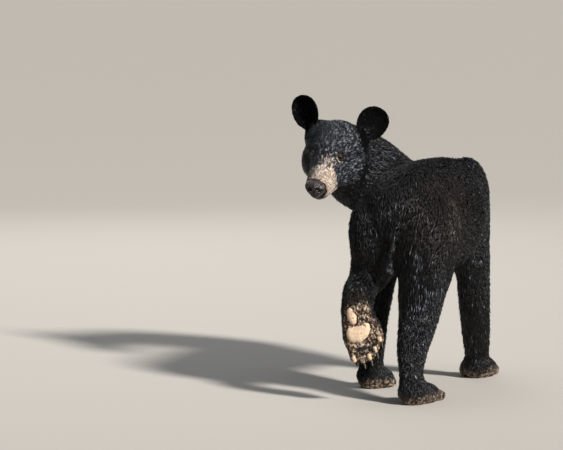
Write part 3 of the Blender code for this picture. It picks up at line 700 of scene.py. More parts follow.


# The colours of a tuft from its darkest to its lightest shade, and of mud from damp to dry.
# The lightest blue-grey tones of the black hair are painted glints.
BLACK_HAIR_AND_GLINTS = (
    (0.0, (0.0018, 0.0018, 0.0024)), (0.55, (0.0040, 0.0042, 0.0054)), (0.75, (0.0150, 0.0168, 0.0220)),
    (0.90, (0.1000, 0.1110, 0.1360)), (1.0, (0.2500, 0.2720, 0.3150)),
)
BROWN_HAIR = (
    (0.0, (0.0060, 0.0038, 0.0028)), (0.6, (0.0150, 0.0090, 0.0056)), (0.80, (0.0320, 0.0205, 0.0130)),
    (1.0, (0.1250, 0.0860, 0.0590)),
)
TAN_HAIR = (
    (0.0, (0.0600, 0.0440, 0.0340)), (0.25, (0.3200, 0.2400, 0.1880)), (0.55, (0.5900, 0.4700, 0.3800)),
    (1.0, (0.8600, 0.7500, 0.6500)),
)
MUD = (
    (0.0, (0.0070, 0.0045, 0.0035)), (0.35, (0.0450, 0.0290, 0.0190)), (0.60, (0.2600, 0.1800, 0.1200)),
    (1.0, (0.7400, 0.6000, 0.4700)),
)


def hair_colouring():
    """The coat's colours, for skin and tufts alike: black, brown, tan and mud, each in its own shades."""
    tree = bpy.data.node_groups.new("hair_colouring", "ShaderNodeTree")
    for name, default in (("Mottling size", 26.0), ("Edge break-up", 0.55)):
        tree.interface.new_socket(name, in_out="INPUT", socket_type="NodeSocketFloat").default_value = default
    tree.interface.new_socket("Color", in_out="OUTPUT", socket_type="NodeSocketColor")
    tree.interface.new_socket("Roughness", in_out="OUTPUT", socket_type="NodeSocketFloat")
    given = laid(tree, "NodeGroupInput").outputs
    tan, dust, brown, shade = (known(tree, fact) for fact in ("tan", "dust", "brown", "shade"))
    place = object_place(tree)
    slow = noise(tree, place, given["Mottling size"], 3.0)
    quick = noise(tree, place, 210.0, 2.0)
    clods = reckoned(tree, "MULTIPLY_ADD", noise(tree, place, 150.0, 3.0, Roughness=0.6), 3.2, -1.30)
    clods = reckoned(tree, "MULTIPLY_ADD", shade, 0.5, clods, clamp=True)

    def broken(share, unevenness):
        """A share with its edge broken up from tuft to tuft and from place to place."""
        uneven = reckoned(tree, "SUBTRACT", unevenness, 0.5)
        uneven = reckoned(tree, "MULTIPLY", uneven, given["Edge break-up"])
        total = reckoned(tree, "SUBTRACT", reckoned(tree, "ADD", share, uneven), 0.25)
        total = reckoned(tree, "MULTIPLY", total, 2.0, clamp=True)
        return reckoned(tree, "MULTIPLY", total, reckoned(tree, "GREATER_THAN", share, 0.02))

    patchy = reckoned(tree, "MULTIPLY", reckoned(tree, "MULTIPLY", brown, slow), 1.5, clamp=True)
    halves = (reckoned(tree, "MULTIPLY", share, 0.5) for share in (shade, quick))
    tufted = reckoned(tree, "ADD", *halves)
    tan_share, dust_share = broken(tan, tufted), broken(dust, slow)
    colour = mixed(tree, patchy, ramp(tree, shade, BLACK_HAIR_AND_GLINTS), ramp(tree, shade, BROWN_HAIR))
    colour = mixed(tree, tan_share, colour, ramp(tree, shade, TAN_HAIR))
    colour = mixed(tree, dust_share, colour, ramp(tree, clods, MUD))
    tan_matt = reckoned(tree, "MULTIPLY", tan_share, 0.22)
    dust_matt = reckoned(tree, "MULTIPLY", dust_share, 0.45)
    rough = reckoned(tree, "MAXIMUM", tan_matt, dust_matt)
    rough = reckoned(tree, "ADD", rough, reckoned(tree, "MULTIPLY", quick, 0.16))
    darkness = reckoned(tree, "SUBTRACT", 1.0, shade)
    rough = reckoned(tree, "ADD", rough, reckoned(tree, "MULTIPLY", darkness, 0.26))
    laid(tree, "NodeGroupOutput", Color=colour, Roughness=reckoned(tree, "ADD", rough, 0.17))
    return tree


HAIR_COLOURING = hair_colouring()


def finish_named(name):
    """A new finish, its tree and its plain surface shader."""
    made = bpy.data.materials.new(name)
    made.use_nodes = True
    return made, made.node_tree, made.node_tree.nodes["Principled BSDF"]


def feed(tree, surface, colour, roughness, relief=None, strength=1.0, depth=0.0):
    """Gives a surface its colour, its roughness and, as a bump, its relief."""
    tree.links.new(colour, surface.inputs["Base Color"])
    tree.links.new(roughness, surface.inputs["Roughness"])
    if relief is not None:
        bump = laid(tree, "ShaderNodeBump", Strength=strength, Distance=depth, Height=relief)
        tree.links.new(bump.outputs["Normal"], surface.inputs["Normal"])


skin_finish, tree, surface = finish_named("skin")
colouring = laid(tree, "ShaderNodeGroup", node_tree=HAIR_COLOURING)
colouring.inputs["Edge break-up"].default_value = 0.3
place = object_place(tree)
pores = reckoned(tree, "MULTIPLY", cells(tree, place, 900.0), 0.5)
wrinkles = reckoned(tree, "ADD", noise(tree, place, 420.0, 4.0), pores)
feed(tree, surface, colouring.outputs["Color"], colouring.outputs["Roughness"], wrinkles, 0.5, 0.0008)
skin.data.materials.clear()
skin.data.materials.append(skin_finish)
skin.data.shade_smooth()
facts = markings(points_of(skin.data))
facts["shade"] = np.random.default_rng(3).uniform(0.0, 0.6, len(skin.data.vertices))
carry(skin.data, facts)


# ---------------------------------------------------------------- eyes
# Small glass eyes, dark brown round a black pupil, set deep under the lids. Each is cast as a ball with a
# clear bulge in front of the iris, and looks where the face looks.

BULGE_ANGLE = 34
BULGE_HEIGHT = 0.0006
# Colours by the angle from the gaze, as a share of 90 degrees: pupil, iris, dark rim and the brown beyond.
IRIS = (
    (0.0, (0.0008, 0.0008, 0.0008)), (0.175, (0.0008, 0.0008, 0.0008)), (0.21, (0.0130, 0.0065, 0.0034)),
    (0.36, (0.0210, 0.0108, 0.0056)), (0.43, (0.0060, 0.0035, 0.0025)), (0.55, (0.0300, 0.0180, 0.0130)),
    (1.0, (0.0400, 0.0240, 0.0180)),
)


def glass_eye(side):
    centre, _, _, out_of_head = eye_axes(side)
    gaze = (out_of_head + Vector((side * -0.18, 0.34, 0.20))).normalized()
    bm = bmesh.new()
    bmesh.ops.create_uvsphere(bm, u_segments=48, v_segments=32, radius=EYE_RADIUS)
    from_gaze = bm.verts.layers.float.new("from_gaze")
    for vertex in bm.verts:
        vertex.co = gaze.to_track_quat("Z", "Y") @ vertex.co
        angle = math.degrees(vertex.co.angle(gaze))
        vertex[from_gaze] = angle
        vertex.co += gaze * BULGE_HEIGHT * max(0.0, 1 - (angle / BULGE_ANGLE) ** 2)
        vertex.co += centre
    bmesh.ops.transform(bm, matrix=HEAD, verts=bm.verts)
    for face in bm.faces:
        face.smooth = True
    name = "glass_eye_" + ("left" if side == LEFT else "right")
    return link(name, mesh_of(name, bm))


eye_finish, tree, surface = finish_named("glass_eye")
streaks = noise(tree, object_place(tree), 1500.0, 3.0)
ragged = reckoned(tree, "MULTIPLY", reckoned(tree, "SUBTRACT", streaks, 0.5), 5.0)
from_gaze = reckoned(tree, "DIVIDE", reckoned(tree, "ADD", known(tree, "from_gaze"), ragged), 90.0)
feed(tree, surface, ramp(tree, from_gaze, IRIS), spread(tree, from_gaze, 0.3, 0.5, 0.06, 0.20))
surface.inputs["Coat Weight"].default_value = 0.3
surface.inputs["Coat Roughness"].default_value = 0.02

eyes = {side: glass_eye(side) for side in (LEFT, RIGHT)}
for side, node in ((LEFT, "eye_left"), (RIGHT, "eye_right")):
    eyes[side].data.materials.append(eye_finish)
    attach(eyes[side], "root")
    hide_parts(node)


# ---------------------------------------------------------------- nose
# A broad pad of bare black leather, moist and finely pebbled. It is modelled over the end of the muzzle, with
# two nostrils that open forwards and slit back to the sides, and a groove down its middle.

NOSE_PLACE = Vector((0.0, 0.166, -0.029))
NOSE_GRAIN = 0.00085
# Each form is two balls joined, from the side of the nose to its middle: the upper one, then the lower one.
NOSE_FORMS = (
    ((0.0118, -0.007, 0.0018, 0.0145, 0.0165, 0.0140), (0.0, -0.006, 0.0040, 0.0110, 0.018, 0.0142)),
    ((0.0095, -0.004, -0.003, 0.0130, 0.015, 0.0120), (0.0, -0.006, -0.0165, 0.0110, 0.0135, 0.0095)),
)
NOSTRIL_STEPS = 9
NOSTRIL_RADIUS = 0.0046
NOSTRIL_DEPTH = 0.0062
RIM_HEIGHT = 0.0007
MIDDLE_GROOVE = 0.0012


def ball(x, y, z, across, along, up):
    """An ellipsoid's matrix: its centre and its half widths."""
    return Matrix.Translation((x, y, z)) @ Matrix.Diagonal((across, along, up, 1.0))


def unit_ball():
    bm = bmesh.new()
    bmesh.ops.create_icosphere(bm, subdivisions=3, radius=1.0)
    points = [vertex.co.copy() for vertex in bm.verts]
    bm.free()
    return points


UNIT_BALL = unit_ball()


def modelled(name, chains, frame_of_piece, grain, evened):
    """Balls joined in chains of hulls, fused on an even grain and rubbed smooth."""
    whole = bmesh.new()
    for chain in chains:
        for pair in zip(chain, chain[1:]):
            form = bmesh.new()
            for matrix in pair:
                for point in UNIT_BALL:
                    form.verts.new(matrix @ point)
            made = bmesh.ops.convex_hull(form, input=form.verts)
            inner = made["geom_interior"] + made["geom_unused"]
            inner = {part for part in inner if isinstance(part, bmesh.types.BMVert)}
            bmesh.ops.delete(form, geom=list(inner), context="VERTS")
            bmesh.ops.recalc_face_normals(form, faces=form.faces)
            pour(form, whole)
    piece = fused(name, whole, grain)
    set_points(piece.data, Neighbours(piece.data).even(points_of(piece.data), evened))
    piece.data.transform(frame_of_piece)
    piece.data.shade_smooth()
    return piece


_, y, z = NOSE_PLACE
nose_forms = [
    [ball(side * across, y + along, z + up, *size) for across, along, up, *size in form]
    for form in NOSE_FORMS for side in (LEFT, RIGHT)
]
nose = modelled("nose_leather", nose_forms, Matrix.Identity(4), NOSE_GRAIN, 4)
points = points_of(nose.data)
facing = rise(points[:, 1], y - 0.004, y + 0.004)
sunk, rim = np.zeros(len(points)), np.zeros(len(points))
for side in (LEFT, RIGHT):
    # The round of the nostril, and the slit that curls down and out from it.
    for share in np.linspace(0.0, 1.0, NOSTRIL_STEPS):
        hole_x = side * (0.0088 + 0.0105 * share)
        hole_z = z + 0.0060 - 0.0055 * math.sin(math.pi * (0.15 + 0.75 * share)) - 0.002 * share
        reach = NOSTRIL_RADIUS * (1 - 0.62 * share)
        apart = np.hypot(points[:, 0] - hole_x, points[:, 2] - hole_z)
        sunk = np.maximum(sunk, (1 - rise(apart, 0.45 * reach, 1.15 * reach)) * (1 - 0.55 * share))
        rim = np.maximum(rim, np.exp(-((apart - 1.7 * reach) / (0.7 * reach)) ** 2) * (1 - 0.6 * share))
middle = np.exp(-(points[:, 0] / 0.0009) ** 2) * (1 - rise(points[:, 2], z - 0.002, z + 0.006))
inwards = np.tile((0.0, -1.0, 0.05), (len(points), 1))
inwards[:, 0] = -np.sign(points[:, 0]) * 0.15
points = points + inwards * (facing * (NOSTRIL_DEPTH * sunk + MIDDLE_GROOVE * middle))[:, None]
points[:, 1] += facing * RIM_HEIGHT * rim * (1 - sunk)
set_points(nose.data, points)
# Painted shade: the nostrils and the groove down the middle are marked for darkening.
carry(nose.data, {"shaded_hollow": facing * np.maximum(np.minimum(1.6 * sunk, 1.0), 0.6 * middle)})
nose.data.transform(HEAD)

nose_finish, tree, surface = finish_named("nose_leather")
place = object_place(tree)
blotches = noise(tree, place, 130.0, 4.0)
leather = ramp(tree, blotches, ((0.30, (0.0140, 0.0090, 0.0085)), (0.70, (0.0700, 0.0470, 0.0420))))
pebbles = spread(tree, cells(tree, place, 720.0, feature="DISTANCE_TO_EDGE"), 0.0, 0.18)
pebbled = mixed(tree, pebbles, (0.0060, 0.0042, 0.0042), leather)
# The nostrils and the middle groove are darkened, as painted shade.
hollowed = mixed(tree, known(tree, "shaded_hollow"), pebbled, (0.0015, 0.0012, 0.0012))
feed(tree, surface, hollowed, spread(tree, blotches, 0.3, 0.7, 0.18, 0.38), pebbles, 0.6, 0.00025)
nose.data.materials.append(nose_finish)
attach(nose, "root")
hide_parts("nose")


# ---------------------------------------------------------------- claws
# Five short, curved, dark horn claws on each paw, deeper than they are wide, set in sockets in the toes so
# that the hair hides their roots. Each is drawn out to a blunt point, worn paler at its tip.

TOES = (-2, -1, 0, 1, 2)
TOE_RADIUS = 0.0125
TOE_SPACING = 0.0175
TOE_ARC = 0.0052
TOE_REACH = {"fore": 0.074, "hind": 0.102}
CLAW_LENGTH = {"fore": 0.030, "hind": 0.019}
CLAW_RADIUS = 0.0042 * 0.97
CLAW_TAPER, CLAW_TIP = 0.88, 0.1
CLAW_WIDTH, CLAW_BACK = 0.74, 0.94
CLAW_BEND = math.radians(60)
CLAW_STEPS = 12
CLAW_SIDES = 12
HORN = (
    (0.0, (0.0180, 0.0130, 0.0100)), (0.55, (0.0350, 0.0270, 0.0210)), (0.88, (0.1100, 0.0850, 0.0620)),
    (1.0, (0.2600, 0.2100, 0.1600)),
)


def toe_tip(toe, side, reach):
    """The centre of a toe's last joint in the paw's own frame; the inmost toe is set furthest back."""
    inward = -side * toe
    return Vector((toe * TOE_SPACING, reach - TOE_ARC * (inward + 0.7) ** 2 * 0.9, TOE_RADIUS + 0.001))


def add_claw(bm, length, tip, sole, layer):
    """One claw in rings of points, from inside its socket to its tip."""
    start = tip + Vector((0, TOE_RADIUS * 0.35, TOE_RADIUS * 0.35))
    rows = []
    for step in range(-3, CLAW_STEPS + 1):
        along = step / CLAW_STEPS
        bend = along * CLAW_BEND
        centre = start + Vector((0, length * math.sin(bend), -length * (1 - math.cos(bend)))) / CLAW_BEND
        up = Vector((0, math.sin(bend), math.cos(bend)))
        radius = CLAW_RADIUS * max(1 - CLAW_TAPER * max(along, 0.0) ** 1.6, CLAW_TIP)
        row = []
        for turn in (math.tau * side / CLAW_SIDES for side in range(CLAW_SIDES)):
            keel = 1.0 if math.sin(turn) < 0 else CLAW_BACK
            across = Vector((1, 0, 0)) * (CLAW_WIDTH * radius * math.cos(turn))
            vertex = bm.verts.new(sole @ (centre + across + up * (keel * radius * math.sin(turn))))
            vertex[layer] = max(along, 0.0)
            row.append(vertex)
        rows.append(row)
    for row, following in zip(rows, rows[1:]):
        for side in range(CLAW_SIDES):
            after = (side + 1) % CLAW_SIDES
            bm.faces.new((row[side], row[after], following[after], following[side]))
    bm.faces.new(rows[0])
    bm.faces.new(rows[-1])


claw_finish, tree, surface = finish_named("claw_horn")
grain = noise(tree, object_place(tree), 600.0, 4.0, Roughness=0.6)
worn = reckoned(tree, "MULTIPLY", reckoned(tree, "SUBTRACT", grain, 0.5), 0.5)
horn = ramp(tree, reckoned(tree, "ADD", known(tree, "along"), worn), HORN)
feed(tree, surface, horn, spread(tree, grain, 0.3, 0.7, 0.28, 0.55), grain, 0.4, 0.0003)

for paw, sole in SOLES.items():
    side, kind = (LEFT if paw.endswith("left") else RIGHT), paw[:4]
    bm = bmesh.new()
    layer = bm.verts.layers.float.new("along")
    for toe in TOES:
        add_claw(bm, CLAW_LENGTH[kind], toe_tip(toe, side, TOE_REACH[kind]), sole, layer)
    bmesh.ops.recalc_face_normals(bm, faces=bm.faces)
    for face in bm.faces:
        face.smooth = len(face.verts) == 4
    made = link("claws_" + paw, mesh_of("claws_" + paw, bm))
    made.data.materials.append(claw_finish)
    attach(made, "root")
    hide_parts(*(f"claw_{paw}_{toe + 3}" for toe in TOES))


# ---------------------------------------------------------------- pads
# The bare pads of the lifted foot: a narrow heel pad, a broad bean behind the toes and one pad under each
# toe. They are thick tan leather, cracked and dusty, and stand a little out of the hair round them.

PAD_GRAIN = 0.0011
TOE_PAD_MUD = 0.42
lifted = SOLES["hindpaw_left"]
pad_shapes = {
    "pad_heel": (
        ball(-0.0068, -0.0125, 0.0022, 0.0098, 0.0092, 0.0090),
        ball(-0.0080, 0.0000, 0.0022, 0.0116, 0.0110, 0.0094),
        ball(-0.0088, 0.0105, 0.0026, 0.0080, 0.0078, 0.0086),
    ),
    "pad_sole": (
        ball(-0.0222, 0.0390, 0.0042, 0.0122, 0.0182, 0.0094),
        ball(-0.0085, 0.0418, 0.0038, 0.0136, 0.0196, 0.0096),
        ball(0.0052, 0.0385, 0.0042, 0.0130, 0.0176, 0.0092),
        ball(0.0158, 0.0325, 0.0046, 0.0088, 0.0125, 0.0086),
    ),
}
for toe in TOES:
    tip = toe_tip(toe, LEFT, TOE_REACH["hind"])
    pad_shapes[f"pad_toe_{toe + 3}"] = (
        ball(tip.x, tip.y - 0.004, 0.0050, 0.0056, 0.0056, 0.0070),
        ball(tip.x, tip.y + 0.003, 0.0056, 0.0046, 0.0044, 0.0066),
    )
pads = [
    (modelled("leather_" + node, (chain,), lifted, PAD_GRAIN, 3 if "toe" in node else 4), node)
    for node, chain in pad_shapes.items()
]

pad_finish, tree, surface = finish_named("pad_leather")
place = object_place(tree)
bend = laid(tree, "ShaderNodeTexNoise", Vector=place, Scale=60.0, Detail=2.0).outputs["Color"]
wander = laid(tree, "ShaderNodeVectorMath", operation="MULTIPLY_ADD")
wander.inputs[1].default_value = (0.010, 0.010, 0.010)
tree.links.new(bend, wander.inputs[0])
tree.links.new(place, wander.inputs[2])
place = wander.outputs[0]
cracks = spread(tree, cells(tree, place, 150.0, feature="DISTANCE_TO_EDGE"), 0.0, 0.035)
dirt = noise(tree, place, 90.0, 5.0)
leather = ramp(tree, dirt, (
    (0.25, (0.4200, 0.2800, 0.1800)), (0.50, (0.6600, 0.4900, 0.3450)), (0.80, (0.8000, 0.6400, 0.4900)),
))
cracked = mixed(tree, cracks, (0.3600, 0.2450, 0.1650), leather)
caked = reckoned(tree, "ADD", known(tree, "mud"), reckoned(tree, "MULTIPLY_ADD", dirt, 4.0, -2.38))
caked = reckoned(tree, "MULTIPLY", caked, 2.0, clamp=True)
relief = reckoned(tree, "ADD", cracks, reckoned(tree, "MULTIPLY", cells(tree, place, 700.0), 0.25))
muddied = mixed(tree, caked, cracked, (0.0900, 0.0560, 0.0360))
feed(tree, surface, muddied, spread(tree, dirt, 0.0, 1.0, 0.60, 0.92), relief, 0.7, 0.0008)
for piece, node in pads:
    piece.data.materials.append(pad_finish)
    carry(piece.data, {"mud": np.full(len(piece.data.vertices), TOE_PAD_MUD if "toe" in node else 0.0)})
    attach(piece, "root")
    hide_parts(node)


# ---------------------------------------------------------------- coat
# Sleek summer hair, black with a steel-blue shine, partly painted as lighter blue-grey tufts, brown over the
# right hip and tan on the muzzle. Each tuft is set at its root in the skin and follows the surface, so the
# coat lies flat and its tips make the outline.

# Each run says along which path the hair lies, how far the run reaches about it, and the tufts there:
# their length, their width and how many times over they cover the skin.
THIGH_COAT, SHANK_COAT = (0.070, 0.021, 0.0027), (0.046, 0.016, 0.0024)
SHOULDER_COAT, FORELEG_COAT = (0.072, 0.021, 0.0027, 2.6), (0.042, 0.016, 0.0024, 2.4)
PAW_COAT, EAR_COAT = (0.034, 0.0068, 0.0016, 2.6), (0.036, 0.0080, 0.0015, 2.2)
COAT_RUNS = (
    ("chest", WORKSHOP, ((-0.030, 0.600, 0.400), (0.008, 0.450, 0.390), (0.019, 0.355, 0.400)),
     0.115, 0.026, 0.0030, 2.8),
    ("barrel", WORKSHOP, ((0.019, 0.355, 0.400), (0.022, 0.260, 0.415), (0.020, 0.180, 0.420)),
     0.122, 0.029, 0.0026, 2.8),
    ("rump", WORKSHOP, ((0.020, 0.180, 0.420), (0.012, 0.100, 0.420), (0.010, 0.020, 0.420)),
     0.112, 0.029, 0.0025, 2.9),
    ("rump", WORKSHOP, ((0.010, 0.060, 0.470), (0.008, 0.035, 0.380), (0.004, 0.035, 0.300)),
     0.070, 0.027, 0.0025, 2.8),
    ("neck", WORKSHOP, ((-0.252, 0.530, 0.515), (-0.216, 0.606, 0.470), (-0.146, 0.622, 0.408),
                        (-0.074, 0.580, 0.392), (-0.020, 0.500, 0.392)), 0.088, 0.020, 0.0027, 2.7),
    ("skull", HEAD, ((0.0, 0.080, 0.0), (0.0, 0.010, 0.010), (0.0, -0.090, 0.0)), 0.074, 0.0085, 0.0021, 2.9),
    ("muzzle", HEAD, ((0.0, 0.175, -0.032), (0.0, 0.120, -0.024), (0.0, 0.080, -0.012)),
     0.036, 0.0048, 0.0010, 2.4),
    ("hind_right", WORKSHOP, ((0.074, 0.100, 0.420), (0.060, 0.110, 0.300), (0.052, 0.090, 0.230)),
     *THIGH_COAT, 2.8),
    ("hind_right", WORKSHOP, ((0.052, 0.090, 0.230), (0.048, 0.016, 0.125), (0.056, -0.010, 0.036)),
     *SHANK_COAT, 2.6),
    ("hind_left", WORKSHOP, ((-0.055, 0.100, 0.420), (-0.080, 0.135, 0.300)), *THIGH_COAT, 2.8),
    ("hind_left", WORKSHOP, ((-0.088, 0.160, 0.285), (-0.078, 0.070, 0.268), (-0.073, -0.004, 0.252),
                             (-0.068, -0.045, 0.205)), *SHANK_COAT, 2.6),
    ("fore_left", WORKSHOP, ((-0.055, 0.450, 0.430), (-0.085, 0.400, 0.340), (-0.114, 0.345, 0.275)),
     *SHOULDER_COAT),
    ("fore_left", WORKSHOP, ((-0.114, 0.345, 0.275), (-0.117, 0.282, 0.160), (-0.110, 0.237, 0.060)),
     *FORELEG_COAT),
    ("fore_right", WORKSHOP, ((0.061, 0.450, 0.440), (0.075, 0.430, 0.340), (0.086, 0.420, 0.275)),
     *SHOULDER_COAT),
    ("fore_right", WORKSHOP, ((0.086, 0.420, 0.275), (0.086, 0.442, 0.165), (0.082, 0.480, 0.060)),
     *FORELEG_COAT),
    ("fore_paws", SOLES["forepaw_left"], ((0.0, 0.0, 0.034), (0.0, 0.085, 0.014)), *PAW_COAT),
    ("fore_paws", SOLES["forepaw_right"], ((0.0, 0.0, 0.034), (0.0, 0.085, 0.014)), *PAW_COAT),
    ("hind_paws", SOLES["hindpaw_left"], ((0.0, -0.005, 0.030), (0.0, 0.112, 0.014)),
     0.034, 0.0085, 0.0021, 2.6),
    ("hind_paws", SOLES["hindpaw_right"], ((0.0, -0.005, 0.030), (0.0, 0.112, 0.014)), *PAW_COAT),
    ("tail", WORKSHOP, ((0.020, 0.006, 0.420), (0.016, -0.020, 0.385), (0.008, -0.022, 0.346),
                        (-0.001, -0.006, 0.290)), 0.034, 0.020, 0.0024, 3.2),
    ("ears", EARS[LEFT], ((0.0, -0.012, -0.050), (0.0, -0.012, 0.050)), *EAR_COAT),
    ("ears", EARS[RIGHT], ((0.0, -0.012, -0.050), (0.0, -0.012, 0.050)), *EAR_COAT),
)
SHORT_HAIR = ("skull", "muzzle", "fore_paws", "hind_paws", "ears")
PATCH = 0.003
MOST_TRIANGLES = 192000
SWAY = 0.16
ROOT_DEPTH = 0.0006
# A tuft goes along the skin by these shares of its length, and stands off it by these of the coat's room.
SHORT_STEPS = ((0.45, 0.62), (0.55, 0.92))
LONG_STEPS = ((0.30, 0.50), (0.36, 0.84), (0.34, 0.97))
# How high its rings are and how much the second is narrower, as shares of the tuft's width.
SHORT_HEIGHT, LONG_HEIGHT, TIP_WIDTH, TIP_HEIGHT = 0.42, 0.40, 0.72, 0.30
LEAST_ROOM, MOST_ROOM = 0.0006, 0.014
COAT_SEED = 100
LOCK = 0.0040
LOCK_MIX = (73856093, 19349663, 83492791)
# By piece: how much the hair hangs down, how far its tips stray out of the coat, how far the tufts roll about
# their own length, how far they bow aside, how wide their locks are, and how few of the locks are painted
# light as glints; the shaded left hind leg gets fewer of these painted glints than the right one.
HANG = {"rump": 0.90, "barrel": 0.45, "skull": 0.0, "muzzle": 0.0, "ears": 0.0}
STRAY = {"rump": 0.0014, "barrel": 0.0016, "skull": 0.0014, "muzzle": 0.0004, "ears": 0.0008,
         "fore_paws": 0.0012, "hind_paws": 0.0012}
ROLL = {"rump": 0.30, "barrel": 0.35}
BOW = {"rump": 0.020, "barrel": 0.025}
CLUMP = {"muzzle": 0.0022, "skull": 0.0031, "neck": 0.0036, "hind_right": 0.0036}
PAINTED_GLINT_SCARCITY = {"ears": 6.0, "skull": 0.70, "muzzle": 0.9, "neck": 1.5, "tail": 0.4, "rump": 3.3, "barrel": 3.0,
        "chest": 2.2, "hind_left": 2.4, "hind_right": 1.3, "fore_paws": 1.3, "hind_paws": 1.3}


class Stretch:
    """One straight stretch of a run: its ends, its reach and its tufts."""

    def __init__(self, piece, start, end, reach, length, width, cover):
        self.piece, self.start, self.end = piece, np.array(start), np.array(end)
        self.reach, self.length, self.width, self.cover = reach, length, width, cover
        self.way = (self.end - self.start) / np.linalg.norm(self.end - self.start)

    def along(self, points):
        return (points - self.start) @ self.way / np.linalg.norm(self.end - self.start)

    def distance(self, points):
        share = np.clip(self.along(points), 0.0, 1.0)[:, None]
        return np.linalg.norm(points - self.start - share * (self.end - self.start), axis=1)


STRETCHES = [
    Stretch(piece, matrix @ Vector(one), matrix @ Vector(two), reach, length, width, cover)
    for piece, matrix, path, reach, length, width, cover in COAT_RUNS
    for one, two in zip(path, path[1:])
]
PIECES = tuple(dict.fromkeys(run[0] for run in COAT_RUNS))


def unit(vectors):
    return vectors / np.maximum(np.linalg.norm(vectors, axis=1, keepdims=True), 1e-9)


def waves(points, size, seed):
    """Three slow even waves over space, each between -1 and 1, as the coat's own unevenness."""
    rng = np.random.default_rng(seed)
    total = np.zeros((len(points), 3))
    for _ in range(6):
        way = rng.normal(size=(3, 3))
        way = way / np.linalg.norm(way, axis=0) * (2 * math.pi / size * rng.uniform(0.6, 1.5))
        total += np.sin(points @ way + rng.uniform(0, math.tau, 3))
    return total / 2.4


class Lie:
    """How the coat lies at each point of the skin."""

    def __init__(self, mesh):
        self.points, self.normals = points_of(mesh), normals_of(mesh)
        joined = Neighbours(mesh)
        weights = np.array([
            np.exp(-3.5 * np.minimum(stretch.distance(self.points) / stretch.reach, 4.0) ** 2)
            for stretch in STRETCHES
        ]).T + 1e-30
        self.nearest = weights.argmax(axis=1)
        weights /= weights.sum(axis=1, keepdims=True)
        ways = np.array([
            stretch.way + np.array((0, 0, -HANG.get(stretch.piece, 0.35)))
            for stretch in STRETCHES
        ])
        way = joined.even(weights @ ways, 6)
        way += 0.16 * waves(self.points, 0.11, 5) + 0.10 * waves(self.points, 0.035, 6)
        self.way = unit(self.flat(joined.even(self.flat(way), 14)))
        for fact in ("length", "width", "cover"):
            values = np.array([getattr(stretch, fact) for stretch in STRETCHES])
            setattr(self, fact, joined.even((weights @ values)[:, None], 10)[:, 0])
        room = np.array([cast_surface.find_nearest(Vector(p))[3] for p in self.points])
        local = through(HEAD.inverted(), self.points)
        bridge = on_muzzle(local) * rise(local[:, 1] - 0.45 * (local[:, 2] + 0.02), 0.060, 0.095)
        self.length *= 1 - 0.35 * bridge
        self.width *= 1 - 0.25 * bridge
        for side in (LEFT, RIGHT):
            temple = distance_from(local, (side * 0.062, 0.022, 0.022))
            room += 0.0032 * np.exp(-(temple / 0.020) ** 2)
            eye = distance_from(local, (side * EYE_PLACE.x, EYE_PLACE.y, EYE_PLACE.z))
            self.length *= 0.30 + 0.70 * rise(eye, 0.010, 0.028)
            self.width *= 0.55 + 0.45 * rise(eye, 0.010, 0.028)
            room *= 0.40 + 0.60 * rise(eye, 0.010, 0.022)
        self.room = np.clip(joined.even(room[:, None], 6)[:, 0], LEAST_ROOM, MOST_ROOM)

    def flat(self, way):
        """The ways without what they point into or out of the skin."""
        return way - self.normals * np.einsum("ij,ij->i", way, self.normals)[:, None]


lie = Lie(skin.data)
skin_surface = surface_of(skin.data)
corners = np.empty(len(skin.data.polygons) * 3, np.int64)
skin.data.polygons.foreach_get("vertices", corners)
corners = corners.reshape(-1, 3)


def of_faces(values):
    return values[corners].mean(axis=1)


face_normal, face_way, face_room = unit(of_faces(lie.normals)), unit(of_faces(lie.way)), of_faces(lie.room)


def follow(places, ways, reach):
    """The nearest places on the skin after a step along it, with the faces that they lie on."""
    ends = places + ways * reach[:, None]
    found, faces = np.empty_like(ends), np.empty(len(ends), np.int64)
    for index, end in enumerate(ends):
        found[index], _, faces[index], _ = skin_surface.find_nearest(end)
    return found, faces


leathers = [surface_of(piece.data) for piece in (nose, *(pad for pad, _ in pads))]


def bare(points):
    """1 where no hair grows: on the nose, the lids' inner rims, and under the pads."""
    share = np.zeros(len(points))
    for middle in (HEAD @ Vector((0, 0.166, -0.034)), lifted @ Vector((0, 0.045, 0))):
        for index in np.flatnonzero(distance_from(points, middle) < 0.085):
            for leather in leathers:
                place, normal, _, apart = leather.find_nearest(points[index], 0.02)
                if place is not None and (apart < 0.0022 or (Vector(points[index]) - place).dot(normal) < 0):
                    share[index] = 1.0
                    break
    for side in (LEFT, RIGHT):
        eye = distance_from(points, HEAD @ Vector((side * EYE_PLACE.x, EYE_PLACE.y, EYE_PLACE.z)))
        share = np.maximum(share, eye < 0.0096)
    return share


def scatter(piece, rng, most):
    """Even random roots on one piece's part of the skin: the face and the share of each of its corners."""
    owner = np.array([PIECES.index(stretch.piece) for stretch in STRETCHES])[lie.nearest]
    mine = (owner[corners] == PIECES.index(piece)).mean(axis=1)
    a, b, c = (lie.points[corners[:, k]] for k in range(3))
    area = np.linalg.norm(np.cross(b - a, c - a), axis=1) / 2
    wanted = mine * area * of_faces(lie.cover) / (0.5 * of_faces(lie.length) * of_faces(lie.width))
    cells = np.floor(((a + b + c) / 3 - lie.points.min(axis=0)) / 0.012).astype(np.int64)
    order = np.lexsort((cells[:, 2], cells[:, 1], cells[:, 0]))
    order = order[wanted[order] > 0]
    total = np.cumsum(wanted[order])
    count = int(min(total[-1], most))
    marks = (np.arange(count) + rng.random(count)) / count * total[-1]
    faces = order[np.minimum(np.searchsorted(total, marks), len(order) - 1)]
    u, v = rng.random(count), rng.random(count)
    fold = u + v > 1
    u[fold], v[fold] = 1 - u[fold], 1 - v[fold]
    return faces, np.stack([1 - u - v, u, v], axis=1)


